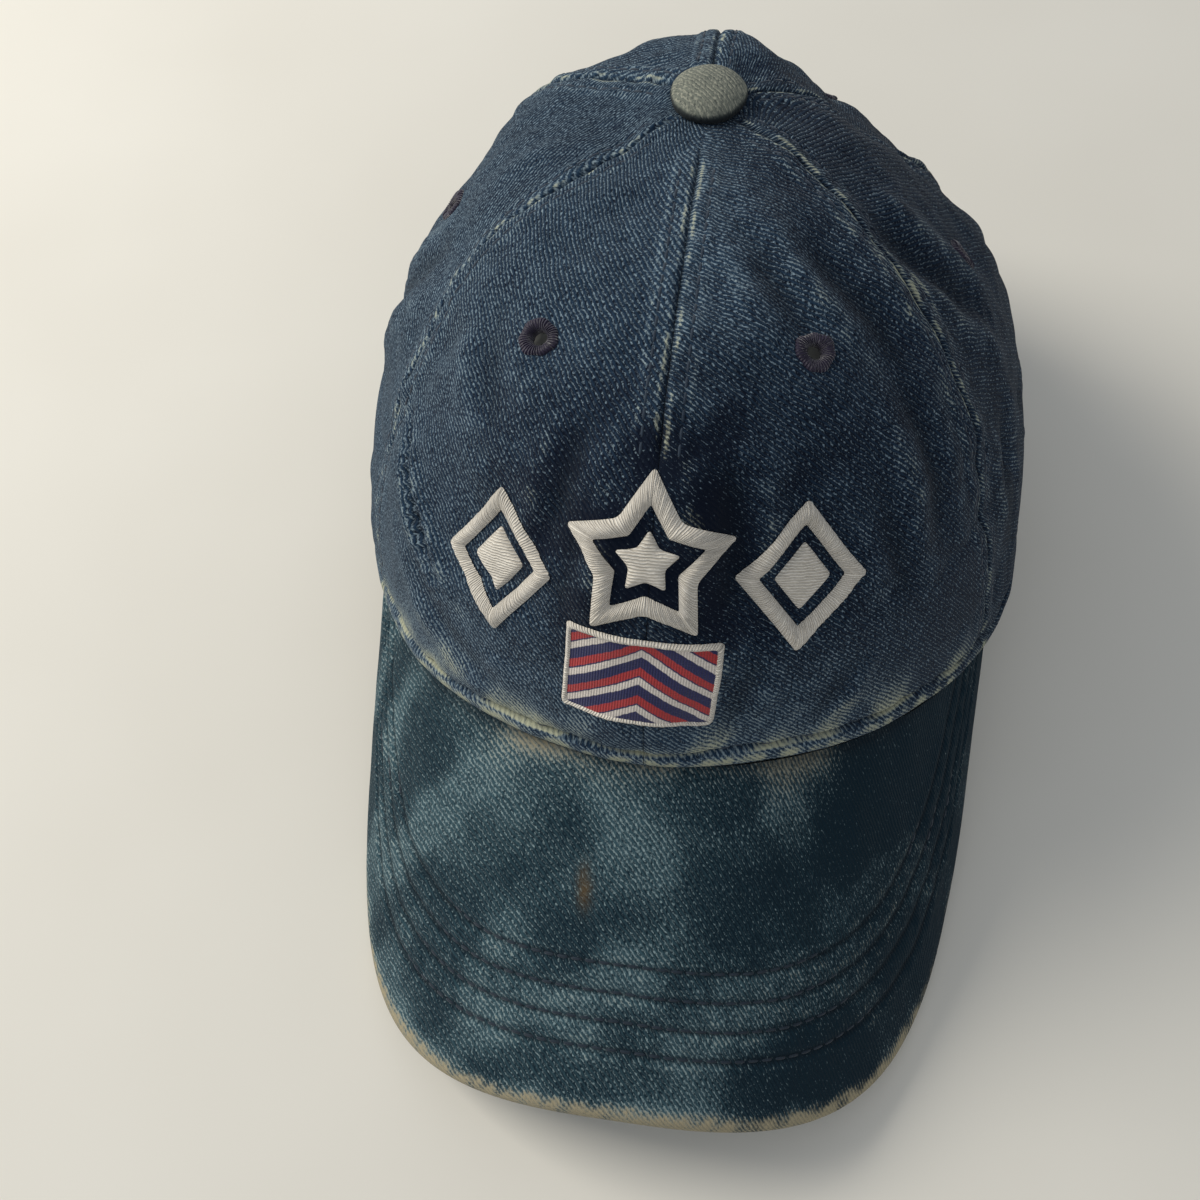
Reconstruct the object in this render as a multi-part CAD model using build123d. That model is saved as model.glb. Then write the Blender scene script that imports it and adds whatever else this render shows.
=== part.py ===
from build123d import *
import math
import os

# A six-panel cloth baseball cap, in millimetres. It is drawn in the frame of its head
# opening (back of the rim at z = 0, front towards -Y), then set down on the floor.
# theta is the angle round the crown: 0 at the front, growing towards +X, in radians.
# t is the height up the crown: 0 at the rim, 1 at the top.
# Left and right are as seen from the front, so left is -X.

# Head opening and crown
HALF_WIDTH = 85.0
HALF_LENGTH = 100.5
TOP_HEIGHT = 109.4
TOP_Y = 12.0
RIM_FRONT_HEIGHT = 26.7
RIM_SIDE_RISE = 2.0
FULLNESS_FRONT = 0.68
FULLNESS_BACK = 0.87
FULLNESS_LEFT = 0.82
FULLNESS_RIGHT = 0.89
HUMP_HEIGHT = 6.4
HUMP_PLACE = (-2.9, 36.0)
HUMP_SPREAD = (29.0, 21.3)
DENT_DEPTH = 7.4
DENT_THETA = math.radians(132.8)
DENT_T = 0.672
DENT_SPREAD = (0.45, 0.2)
DENT_AIM_Z = 39.0
PANEL_THICKNESS = 1.1
SEAM_GAP = 0.15
CROWN_TOP_T = 0.99
SEAM_THETAS = {
    "front": 0.0,
    "front_right": math.radians(60),
    "rear_right": math.radians(120),
    "rear": math.radians(180),
    "rear_left": math.radians(240),
    "front_left": math.radians(300),
}

# Visor: a cylinder rolled about a line that slopes down to the front
VISOR_CORNER_THETA = math.radians(64)
RIM_BLEND = math.radians(6)
VISOR_REACH = 61.8
VISOR_FLAT_HALF_WIDTH = 97.7
VISOR_OUTLINE_POWER = 0.825
VISOR_ROLL_RADIUS = 82.5
VISOR_SLOPE = math.radians(38)
VISOR_CLOTH = 1.0
VISOR_BOARD = 1.8
VISOR_BOARD_INSET = 0.8
VISOR_SEAM_GAP = 0.3
STITCH_ROW_INSETS = (12.4, 17.3, 22.2, 27.1)

# Stitching and cloth details
THREAD_WIDTH = 0.6
THREAD_HEIGHT = 0.3
CLEARANCE = 0.05
SURFACE_TOLERANCE = 0.002
THREAD_GAP = 0.15
THREAD_DEPTH = -THREAD_GAP - THREAD_HEIGHT
TOPSTITCH_OFFSET = 3.5
TOPSTITCH_BOTTOM_T = 0.05
TOPSTITCH_TOP_T = 0.95
HEM_STITCH_T = 0.03
HEM_STITCH_END = math.radians(140)
FRONT_STITCH_T = 0.55
TAPE_WIDTH = 12.0
TAPE_THICKNESS = 0.6
TAPE_DEPTH = 1.25
TAPE_TOP_T = 0.93
TAPE_BOTTOM_T = 0.215
BACKING_BOTTOM_T = 0.22
BACKING_TOP_T = 0.56
BACKING_REACH = math.radians(40)
BACKING_THICKNESS = 0.3
REAR_SEAM_T = 0.36
SWEATBAND_TOP_T = 0.2
SWEATBAND_DEPTH = 2.3
SWEATBAND_REAR_DEPTH = 7.8
SWEATBAND_THICKNESS = 1.2
SWEATBAND_END_THETA = math.radians(146)
SWEATBAND_FRONT_DROP = 3.0
SWEATBAND_BOTTOM_T = 0.004
SWEATBAND_STEP_THETA = math.radians(95)
SWEATBAND_STEP_REACH = math.radians(25)
SWEATBAND_STITCH_DROP = 0.02
SWEATBAND_STITCH_RISE = 0.004

# Eyelets, one in the middle of each panel
EYELET_T = {"front": 0.657, "side_left": 0.577, "side_right": 0.54, "rear": 0.62}
EYELET_RADIUS = 3.9
EYELET_HOLE_RADIUS = 1.5
EYELET_BARREL_RADIUS = 2.2
EYELET_HEIGHT = 0.7
EYELET_ROUNDING = 0.42
EYELET_OVERLAP = 0.2
THROUGH_CLOTH = 8.0

# Button on top of the crown
BUTTON_RADIUS = 8.2
BUTTON_HEIGHT = 5.0
BUTTON_CLOTH = 0.7
BUTTON_SHELL = 0.6
BUTTON_SEAT_T = 0.97
BUTTON_LIFT = 0.5
BUTTON_EDGE = 1.4
BUTTON_STEM_RADIUS = 1.5
BUTTON_STEM_LENGTH = 6.0
BUTTON_STEM_DROP = -0.6
RIVET_HEAD_RADIUS = 3.2
RIVET_HEAD_HEIGHT = 0.8
RIVET_HEAD_LIFT = 2.6
WASHER_RADIUS = 6.0
WASHER_THICKNESS = 0.8
WASHER_DROP = 2.4
WASHER_FIT = 0.03

# Arched opening at the back
ARCH_HALF_WIDTH = 46.0
ARCH_HEIGHT = 46.0
ARCH_BINDING_WIDTH = 3.0
ARCH_BINDING_PROUD = 0.6
ARCH_BINDING_DEPTH = 1.9
ARCH_STITCH_OFFSET = 2.0
ARCH_SHELL_REACH = math.radians(42)
ARCH_SHELL_TOP_T = 0.48

# Raised shapes and patch on the front
SHAPE_STROKE = 3.4
SHAPE_GAP = 2.3
SHAPE_HEIGHT = 1.5
SHAPE_CORNER = 1.2
DIAMOND_HALF_SIZE = (14.5, 15.5)
STAR_RADIUS = 17.5
STAR_WAIST = 0.56
SHAPE_PLACES = {
    "left": (math.radians(-25.5), 0.329, math.radians(10)),
    "middle": (math.radians(-0.5), 0.405, 0.0),
    "right": (math.radians(23.1), 0.355, math.radians(-12)),
}
PATCH_PLACE = (math.radians(-0.8), 0.205, math.radians(-3))
PATCH_SIZE = (31.0, 20.5)
PATCH_BORDER = 1.5
PATCH_THICKNESS = 0.6
PATCH_BORDER_PROUD = 0.4
MOTIF_REACH = math.radians(17)
MOTIF_REACH_T = 0.2

# Strap, an arc that slides along itself, and its buckle
STRAP_RADIUS = 74.0
STRAP_CENTRE_Y = 21.6
STRAP_THICKNESS = 1.6
STRAP_WIDTH = 18.0
STRAP_BOTTOM = 6.6
STRAP_HALF_ANGLE = math.radians(50.5)
STRAP_STITCH_INSET = 2.2
STRAP_STITCH_PROUD = 0.25
STRAP_STITCH_HEIGHT = 0.2
TAB_END_ANGLE = math.radians(-36.5)
BUCKLE_ANGLE = math.radians(-12)
BUCKLE_HALF_LENGTH = 11.0
BUCKLE_HALF_WIDTH = 10.4
BUCKLE_PLATE = 1.0
FLANGE_THICKNESS = 1.0
FLANGE_TOP = 3.6
PLATE_FACE = -4.0
PIN_PLACE = (7.5, 2.1)
PIN_RADIUS = 0.9
PIN_CLEARANCE = 0.06
BARREL_RADIUS = 2.0
LEVER_HALF_WIDTH = 9.1
TAB_HALF_WIDTH = 8.6
TAB_DEPTH = 3.9
TAB_THICKNESS = 1.8
TAB_BUCKLE_GAP = math.radians(9.5)
LEVER_END = -13.0
LEVER_PLATE_LIFT = 0.4
LEVER_PLATE = 1.1
LEVER_CURL_RADIUS = 0.9

# How the cap stands on the floor
STAND_TILT = 11.25
STAND_SHIFT_Y = 30.38
STAND_LIFT = 14.25


def between(low, high, fraction):
    """A value part way from low to high."""
    return low + (high - low) * fraction


def rim_xy(theta):
    """Plan position of the rim, an ellipse."""
    return HALF_WIDTH * math.sin(theta), -HALF_LENGTH * math.cos(theta)


def visor_z(x, y):
    """Height of the visor's upper face."""
    roll = VISOR_ROLL_RADIUS - math.sqrt(VISOR_ROLL_RADIUS**2 - x**2)
    return RIM_FRONT_HEIGHT + math.tan(VISOR_SLOPE) * (y + HALF_LENGTH) - roll / math.cos(VISOR_SLOPE)


def smooth_step(value):
    """An even ramp from 0 to 1, flat at both ends."""
    u = min(max(value, 0.0), 1.0)
    return u * u * (3 - 2 * u)


def rim_z(theta):
    """The rim follows the visor at the front and falls smoothly to zero at the back."""
    turn = abs((theta + math.pi) % (2 * math.pi) - math.pi)
    corner = VISOR_CORNER_THETA
    u = (turn - corner) / (math.pi - corner)
    back = visor_z(*rim_xy(corner)) * (1 - u) ** 2 * (1 + 2 * u) + RIM_SIDE_RISE * math.sin(math.pi * u) ** 2
    if turn > corner + RIM_BLEND:
        return back
    front = visor_z(*rim_xy(turn))
    return between(front, back, smooth_step((turn - corner + RIM_BLEND) / (2 * RIM_BLEND)))


def fullness(theta):
    """How squarely the crown's side turns over to its top, blended between four directions."""
    c = math.cos(theta)
    s = math.sin(theta)
    fore = FULLNESS_FRONT if c > 0 else FULLNESS_BACK
    side = FULLNESS_RIGHT if s > 0 else FULLNESS_LEFT
    return fore * c**2 + side * s**2


def crown_surface(theta, t):
    """Outer face of the crown, with the soft hump behind the button and the dent beside it."""
    phi = min(max(t, 0.0), 1 - 1e-9) * math.pi / 2
    reach = math.cos(phi) ** fullness(theta)
    rise = math.sin(phi) if t >= 0 else t * math.pi / 2
    x0, y0 = rim_xy(theta)
    z0 = rim_z(theta)
    x = x0 * reach
    y = TOP_Y + (y0 - TOP_Y) * reach
    z = z0 + (TOP_HEIGHT - z0) * rise
    turn = (theta - DENT_THETA + math.pi) % (2 * math.pi) - math.pi
    dent = DENT_DEPTH * math.exp(-((turn / DENT_SPREAD[0]) ** 2) - ((t - DENT_T) / DENT_SPREAD[1]) ** 2)
    point = Vector(x, y, z)
    point -= (point - Vector(0, 0, DENT_AIM_Z)).normalized() * dent
    across = (point.X - HUMP_PLACE[0]) / HUMP_SPREAD[0]
    along = (point.Y - HUMP_PLACE[1]) / HUMP_SPREAD[1]
    return point + Vector(0, 0, HUMP_HEIGHT * math.exp(-(across**2) - along**2))


def crown_slopes(theta, t):
    """Derivatives of the crown's face along theta and t."""
    step = 1e-4
    low = min(t, 1 - 2 * step)
    along = (crown_surface(theta + step, t) - crown_surface(theta - step, t)) / (2 * step)
    up = (crown_surface(theta, low + step) - crown_surface(theta, low)) / step
    return along, up


def crown_normal(theta, t):
    """Outward unit normal of the crown."""
    along, up = crown_slopes(theta, t)
    return along.cross(up).normalized()


def crown_point(theta, t, depth):
    """A point at a depth under the crown's outer face."""
    return crown_surface(theta, t) - crown_normal(theta, t) * depth


def visor_point(across, y, depth):
    """A point at a depth under the visor's top, from its place in the flat pattern."""
    turn = across / VISOR_ROLL_RADIUS
    sag = VISOR_ROLL_RADIUS * (math.cos(turn) - 1)
    run = (y + HALF_LENGTH + math.sin(VISOR_SLOPE) * sag) / math.cos(VISOR_SLOPE)
    radius = VISOR_ROLL_RADIUS - depth
    height = radius * math.cos(turn) - VISOR_ROLL_RADIUS
    return Vector(
        radius * math.sin(turn),
        -HALF_LENGTH + run * math.cos(VISOR_SLOPE) - height * math.sin(VISOR_SLOPE),
        RIM_FRONT_HEIGHT + run * math.sin(VISOR_SLOPE) + height * math.cos(VISOR_SLOPE),
    )


def grid_face(place, rows, columns, sink):
    """A smooth face through the points place(u, v, sink), with u and v from 0 to 1."""
    points = []
    for row in range(rows):
        v = row / (rows - 1)
        points.append([place(column / (columns - 1), v, sink) for column in range(columns)])
    return Face.make_surface_from_array_of_points(points, tol=SURFACE_TOLERANCE)


def skin(place, rows, columns, thickness):
    """A closed sheet: an upper face, the same face sunk by the thickness, and ruled sides."""
    upper = grid_face(place, rows, columns, 0.0)
    lower = grid_face(place, rows, columns, thickness)
    faces = [upper, lower]
    for edge in upper.edges():
        middle = edge.position_at(0.5)
        partner = min(lower.edges(), key=lambda other: (other.position_at(0.5) - middle).length)
        faces.append(Face.make_surface_from_curves(edge, partner))
    return Solid(Shell(faces))


def crown_sheet(low, high, bottom, top, depth, thickness, rows=13, columns=9, margin=0.0):
    """A sheet on the crown between two angles, its sides held back by a margin of cloth."""

    def place(u, v, sink):
        t = between(bottom, top, math.sin(v * math.pi / 2))
        inset = margin / crown_slopes((low + high) / 2, t)[0].length
        return crown_point(between(low + inset, high - inset, u), t, depth + sink)

    return skin(place, rows, columns, thickness)


def seam_strip(theta, offset, width, bottom, top, depth, thickness):
    """A narrow strip that runs up the crown beside or over a seam."""

    def place(u, v, sink):
        t = between(bottom, top, v)
        reach = crown_slopes(theta, t)[0].length
        return crown_point(theta + (offset + (u - 0.5) * width) / reach, t, depth + sink)

    return skin(place, 21, 5, thickness)


def level_strip(start, end, low, width, depth, thickness):
    """A narrow strip that runs round the crown at one height."""

    def place(u, v, sink):
        theta = between(start, end, u)
        t = low + v * width / crown_slopes(theta, low)[1].length
        return crown_point(theta, t, depth + sink)

    return skin(place, 3, 49, thickness)


def arch_prism(grow):
    """A block that fills the arched opening at the back, grown by an amount."""
    outline = Rot(0, 0, -90) * Ellipse(ARCH_HEIGHT + grow, ARCH_HALF_WIDTH + grow)
    return extrude(Plane.XZ * outline, amount=-2 * HALF_LENGTH)


def crown_plane(theta, t, turn=0.0):
    """A plane touching the crown, its Y axis up the crown, turned by an angle."""
    along, _ = crown_slopes(theta, t)
    plane = Plane(origin=crown_surface(theta, t), x_dir=along, z_dir=crown_normal(theta, t))
    return plane.rotated((0, 0, math.degrees(turn)))


PANELS = {
    "front_left": ("front_left", "front"),
    "front_right": ("front", "front_right"),
    "side_right": ("front_right", "rear_right"),
    "rear_right": ("rear_right", "rear"),
    "rear_left": ("rear", "rear_left"),
    "side_left": ("rear_left", "front_left"),
}


def panel_angles(panel):
    """The two seams that bound a panel, in rising order."""
    first, last = PANELS[panel]
    low = SEAM_THETAS[first]
    high = SEAM_THETAS[last]
    return (low, high) if low < high else (low, high + 2 * math.pi)


def eyelet_plane(panel):
    """Where a panel's eyelet sits."""
    low, high = panel_angles(panel)
    height = EYELET_T.get(panel, EYELET_T.get(panel.split("_")[0]))
    return crown_plane((low + high) / 2, height)


def make_panel(panel):
    """One crown panel, with its eyelet hole and, at the back, its side of the arch."""
    low, high = panel_angles(panel)
    cloth = crown_sheet(low, high, 0.0, CROWN_TOP_T, 0.0, PANEL_THICKNESS, 25, 15, SEAM_GAP / 2)
    hole = eyelet_plane(panel) * Cylinder(EYELET_BARREL_RADIUS + CLEARANCE, THROUGH_CLOTH)
    cloth = cloth - hole
    if panel.startswith("rear"):
        cloth = cloth - arch_prism(ARCH_BINDING_WIDTH + CLEARANCE)
    return cloth


def make_eyelet(panel):
    """An embroidered ring: a domed flange outside and a barrel through the cloth."""
    flange = Pos(0, 0, CLEARANCE * 3 + EYELET_HEIGHT / 2) * Cylinder(EYELET_RADIUS, EYELET_HEIGHT)
    flange = fillet(flange.edges().group_by(Axis.Z)[-1], EYELET_ROUNDING)
    depth = PANEL_THICKNESS + 3 * CLEARANCE
    barrel = Cylinder(EYELET_BARREL_RADIUS, depth + 2 * EYELET_OVERLAP)
    hole = Cylinder(EYELET_HOLE_RADIUS, THROUGH_CLOTH)
    ring = flange + Pos(0, 0, EYELET_OVERLAP - depth / 2) * barrel - hole
    return eyelet_plane(panel) * ring


def make_seam_tape(seam):
    """The tape that covers a seam inside the crown."""
    bottom = REAR_SEAM_T if seam == "rear" else TAPE_BOTTOM_T
    return seam_strip(SEAM_THETAS[seam], 0, TAPE_WIDTH, bottom, TAPE_TOP_T, TAPE_DEPTH, TAPE_THICKNESS)


def make_topstitch(seam):
    """Two rows of thread, one each side of a seam."""
    bottom = {"front": FRONT_STITCH_T, "rear": REAR_SEAM_T}.get(seam, TOPSTITCH_BOTTOM_T)
    theta = SEAM_THETAS[seam]
    rows = []
    for side in (-1, 1):
        offset = side * TOPSTITCH_OFFSET
        row = seam_strip(theta, offset, THREAD_WIDTH, bottom, TOPSTITCH_TOP_T, THREAD_DEPTH, THREAD_HEIGHT)
        rows.append(row)
    return Compound(children=rows)


def make_hem_stitching():
    """The row of thread round the crown's lower edge."""
    end = HEM_STITCH_END
    return level_strip(-end, end, HEM_STITCH_T, THREAD_WIDTH, THREAD_DEPTH, THREAD_HEIGHT)


def arch_shell(bottom, depth, thickness):
    """A sheet of the crown round the arch, for cutting its edge pieces from."""
    low = math.pi - ARCH_SHELL_REACH
    high = math.pi + ARCH_SHELL_REACH
    return crown_sheet(low, high, bottom, ARCH_SHELL_TOP_T, depth, thickness, 13, 21)


def make_arch_binding():
    """The rolled cloth edge of the arched opening."""
    thickness = ARCH_BINDING_PROUD + ARCH_BINDING_DEPTH
    shell = arch_shell(0.0, -ARCH_BINDING_PROUD, thickness)
    return (shell & arch_prism(ARCH_BINDING_WIDTH)) - arch_prism(0)


def make_arch_stitching():
    """The row of thread beside the arch binding."""
    shell = arch_shell(0.005, THREAD_DEPTH, THREAD_HEIGHT)
    inner = ARCH_BINDING_WIDTH + ARCH_STITCH_OFFSET
    return (shell & arch_prism(inner + THREAD_WIDTH)) - arch_prism(inner)


def sweatband_point(theta, t, extra):
    """The sweatband lies close at the front and further in at the back, clear of the strap."""
    ease = smooth_step((abs(theta) - SWEATBAND_STEP_THETA) / SWEATBAND_STEP_REACH)
    return crown_point(theta, t, between(SWEATBAND_DEPTH, SWEATBAND_REAR_DEPTH, ease) + extra)


def make_sweatband():
    """The cloth band round the head."""
    drop = SWEATBAND_FRONT_DROP / (TOP_HEIGHT * math.pi / 2)

    def place(u, v, sink):
        theta = between(-SWEATBAND_END_THETA, SWEATBAND_END_THETA, u)
        bottom = SWEATBAND_BOTTOM_T - drop * max(math.cos(theta), 0) ** 2
        return sweatband_point(theta, between(bottom, SWEATBAND_TOP_T, v), sink)

    return skin(place, 7, 61, SWEATBAND_THICKNESS)


def make_sweatband_stitching():
    """The row of thread near the sweatband's upper edge."""
    end = SWEATBAND_END_THETA - math.radians(2)

    def place(u, v, sink):
        theta = between(-end, end, u)
        depth = SWEATBAND_THICKNESS + 2 * THREAD_GAP + sink
        t = SWEATBAND_TOP_T - SWEATBAND_STITCH_DROP + SWEATBAND_STITCH_RISE * v
        return sweatband_point(theta, t, depth)

    return skin(place, 3, 61, THREAD_HEIGHT)


def visor_edge(s, inset):
    """The visor's outer edge in the flat pattern, s from -1 to 1, moved inwards by an inset."""
    step = 1e-3

    def outline(s):
        angle = s * math.pi / 2
        corner_y = rim_xy(VISOR_CORNER_THETA)[1]
        across = math.copysign(abs(math.sin(angle)) ** VISOR_OUTLINE_POWER, angle)
        reach = HALF_LENGTH + corner_y + VISOR_REACH
        y = corner_y - reach * abs(math.cos(angle)) ** VISOR_OUTLINE_POWER
        return VISOR_FLAT_HALF_WIDTH * across, y

    x, y = outline(s)
    s0 = max(s - step, -1 + step)
    x0, y0 = outline(s0)
    x1, y1 = outline(s0 + step)
    length = math.hypot(x1 - x0, y1 - y0)
    side = math.copysign(abs(y1 - y0) / length, s)
    return x - side * inset, y + abs(x1 - x0) / length * inset


def visor_sheet(depth, thickness, inner, outer, reach=1.0):
    """A sheet of the visor, held back from the crown by inner and from the edge by outer."""

    def place(u, v, sink):
        s = between(-reach, reach, u)
        theta = s * VISOR_CORNER_THETA
        x = (HALF_WIDTH + inner) * math.sin(theta)
        y = -(HALF_LENGTH + inner) * math.cos(theta)
        across = VISOR_ROLL_RADIUS * math.asin(x / VISOR_ROLL_RADIUS)
        edge_across, edge_y = visor_edge(s, outer)
        return visor_point(between(across, edge_across, v), between(y, edge_y, v), depth + sink)

    return skin(place, 9, 49, thickness)


def visor_strip(depth, thickness, inset, width, reach):
    """A narrow strip that follows the visor's edge at an inset."""

    def place(u, v, sink):
        s = between(-reach, reach, u)
        across, y = visor_edge(s, inset + width * v)
        return visor_point(across, y, depth + sink)

    return skin(place, 3, 49, thickness)


def make_visor_top():
    """The top cloth."""
    return visor_sheet(0, VISOR_CLOTH, VISOR_SEAM_GAP, 0)


def make_visor_board():
    """The stiffener between the two cloths."""
    depth = VISOR_CLOTH + 2 * CLEARANCE
    return visor_sheet(depth, VISOR_BOARD - 4 * CLEARANCE, 1.0, VISOR_BOARD_INSET, 0.96)


def make_visor_bottom():
    """The bottom cloth."""
    return visor_sheet(VISOR_CLOTH + VISOR_BOARD + 2 * CLEARANCE, VISOR_CLOTH, VISOR_SEAM_GAP, 0)


def make_visor_row(inset):
    """One row of stitching, on both faces of the visor."""
    bottom = 2 * VISOR_CLOTH + VISOR_BOARD + 2 * CLEARANCE + THREAD_GAP
    reach = 0.97 - inset * 0.009
    above = visor_strip(THREAD_DEPTH, THREAD_HEIGHT, inset, THREAD_WIDTH, reach)
    below = visor_strip(bottom, THREAD_HEIGHT, inset, THREAD_WIDTH, reach)
    return Compound(children=[above, below])


def dome(radius, height):
    """A button's solid shape: a short upright edge under a part of a sphere."""
    rise = height - BUTTON_EDGE
    ball_radius = (radius**2 + rise**2) / (2 * rise)
    ball = Pos(0, 0, BUTTON_LIFT + height - ball_radius) * Sphere(ball_radius)
    return ball & (Pos(0, 0, BUTTON_LIFT + height / 2) * Cylinder(radius, height))


def button_seat():
    """Where the button sits, square to the cloth round the top of the crown."""
    front, right, back, left = [crown_surface(math.radians(90 * index), BUTTON_SEAT_T) for index in range(4)]
    top = crown_surface(0, 1)
    return Plane(origin=top, x_dir=right - left, z_dir=(right - left).cross(back - front))


def make_button_cover():
    """The cloth over the button."""
    inner = dome(BUTTON_RADIUS - BUTTON_CLOTH, BUTTON_HEIGHT - BUTTON_CLOTH)
    return button_seat() * (dome(BUTTON_RADIUS, BUTTON_HEIGHT) - inner)


def make_button_shell():
    """The pressed metal shell under the cloth."""
    gap = BUTTON_CLOTH + 2 * CLEARANCE
    inner = gap + BUTTON_SHELL
    hollow = dome(BUTTON_RADIUS - inner, BUTTON_HEIGHT - inner)
    return button_seat() * (dome(BUTTON_RADIUS - gap, BUTTON_HEIGHT - gap) - hollow)


def make_button_stem():
    """The rivet that holds the button through the crown."""
    head = Pos(0, 0, RIVET_HEAD_LIFT) * Cylinder(RIVET_HEAD_RADIUS, RIVET_HEAD_HEIGHT)
    shaft = Pos(0, 0, BUTTON_STEM_DROP) * Cylinder(BUTTON_STEM_RADIUS, BUTTON_STEM_LENGTH)
    return button_seat() * (head + shaft)


def make_button_washer():
    """The washer that grips the rivet inside the crown."""
    hole = Cylinder(BUTTON_STEM_RADIUS + WASHER_FIT, 2 * WASHER_THICKNESS)
    ring = Cylinder(WASHER_RADIUS, WASHER_THICKNESS) - hole
    return button_seat() * Pos(0, 0, -WASHER_DROP) * ring


def rounded(outline):
    """An outline with its corners softened."""
    return fillet(outline.vertices(), SHAPE_CORNER)


def diamond_outline():
    """A four-pointed lozenge."""
    across, up = DIAMOND_HALF_SIZE
    return rounded(make_face(Polyline((0, up), (-across, 0), (0, -up), (across, 0), close=True)))


def star_outline():
    """A broad five-pointed star."""
    points = []
    for index in range(10):
        radius = STAR_RADIUS * (STAR_WAIST if index % 2 else 1)
        angle = math.radians(90 + 36 * index)
        points.append((radius * math.cos(angle), radius * math.sin(angle)))
    return rounded(make_face(Polyline(*points, close=True)))


def double_outline(outline):
    """An outer ring of satin stitch and a filled middle, with a gap of bare cloth between them."""
    ring = outline - offset(outline, -SHAPE_STROKE)
    middle = offset(outline, -SHAPE_STROKE - SHAPE_GAP)
    return Sketch() + [*ring.faces(), *middle.faces()]


def raised(outline, place, height):
    """A flat outline laid on the crown as a raised shape."""
    theta, t, turn = place
    plane = crown_plane(theta, t, turn)
    low = max(t - MOTIF_REACH_T, 0.01)
    left = theta - MOTIF_REACH
    right = theta + MOTIF_REACH
    sheet = crown_sheet(left, right, low, t + MOTIF_REACH_T, -height - 2 * CLEARANCE, height, 17, 17)
    tool = extrude(plane * outline, amount=THROUGH_CLOTH, both=True)
    return sheet & tool


def make_raised_shape(name):
    """One of the three raised shapes on the front."""
    outline = star_outline() if name == "middle" else diamond_outline()
    return raised(double_outline(outline), SHAPE_PLACES[name], SHAPE_HEIGHT)


def make_patch():
    """The small cloth patch under the middle shape."""
    gap = PATCH_BORDER + CLEARANCE
    outline = Rectangle(PATCH_SIZE[0] - 2 * gap, PATCH_SIZE[1] - 2 * gap)
    return raised(outline, PATCH_PLACE, PATCH_THICKNESS)


def make_patch_border():
    """The overlocked border of the patch."""
    outline = RectangleRounded(*PATCH_SIZE, PATCH_BORDER * 0.6)
    outline -= Rectangle(PATCH_SIZE[0] - 2 * PATCH_BORDER, PATCH_SIZE[1] - 2 * PATCH_BORDER)
    return raised(outline, PATCH_PLACE, PATCH_THICKNESS + PATCH_BORDER_PROUD)


def make_backing():
    """The soft backing behind the raised shapes, inside the crown."""
    depth = TAPE_DEPTH + TAPE_THICKNESS + 2 * CLEARANCE
    reach = BACKING_REACH
    return crown_sheet(-reach, reach, BACKING_BOTTOM_T, BACKING_TOP_T, depth, BACKING_THICKNESS, 9, 15)


def strap_band(radius, thickness, start, end, half_width):
    """An arc of webbing about the strap's own centre, between two angles from the back."""
    mid = STRAP_BOTTOM + STRAP_WIDTH / 2
    outer = Cylinder(radius, 2 * half_width) - Cylinder(radius - thickness, 2 * half_width)
    wedge_reach = 2 * radius
    points = [(0, 0)]
    for index in range(7):
        angle = between(start, end, index / 6)
        points.append((wedge_reach * math.sin(angle), wedge_reach * math.cos(angle)))
    wedge = extrude(make_face(Polyline(*points, close=True)), amount=half_width * 2, both=True)
    return Pos(0, STRAP_CENTRE_Y, mid) * (outer & wedge)


def make_strap():
    """The strap that closes the back of the cap."""
    angle = STRAP_HALF_ANGLE
    return strap_band(STRAP_RADIUS, STRAP_THICKNESS, -angle, angle, STRAP_WIDTH / 2)


def make_strap_stitching():
    """Two rows of thread along the strap's edges."""
    rows = []
    angle = STRAP_HALF_ANGLE
    radius = STRAP_RADIUS + STRAP_STITCH_PROUD
    for side in (-1, 1):
        row = strap_band(radius, STRAP_STITCH_HEIGHT, -angle, angle, THREAD_WIDTH / 2)
        rows.append(Pos(0, 0, side * (STRAP_WIDTH / 2 - STRAP_STITCH_INSET)) * row)
    return Compound(children=rows)


def buckle_plane():
    """The buckle's own frame: X along the strap, Y out from the head, Z up."""
    s = math.sin(BUCKLE_ANGLE)
    c = math.cos(BUCKLE_ANGLE)
    mid = STRAP_BOTTOM + STRAP_WIDTH / 2
    centre = (STRAP_RADIUS * s, STRAP_CENTRE_Y + STRAP_RADIUS * c, mid)
    return Plane(origin=centre, x_dir=(c, -s, 0), z_dir=(0, 0, 1))


def box_between(low, high):
    """A box from its lowest to its highest corner."""
    size = [high[i] - low[i] for i in range(3)]
    middle = [(high[i] + low[i]) / 2 for i in range(3)]
    return Pos(*middle) * Box(*size)


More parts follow.
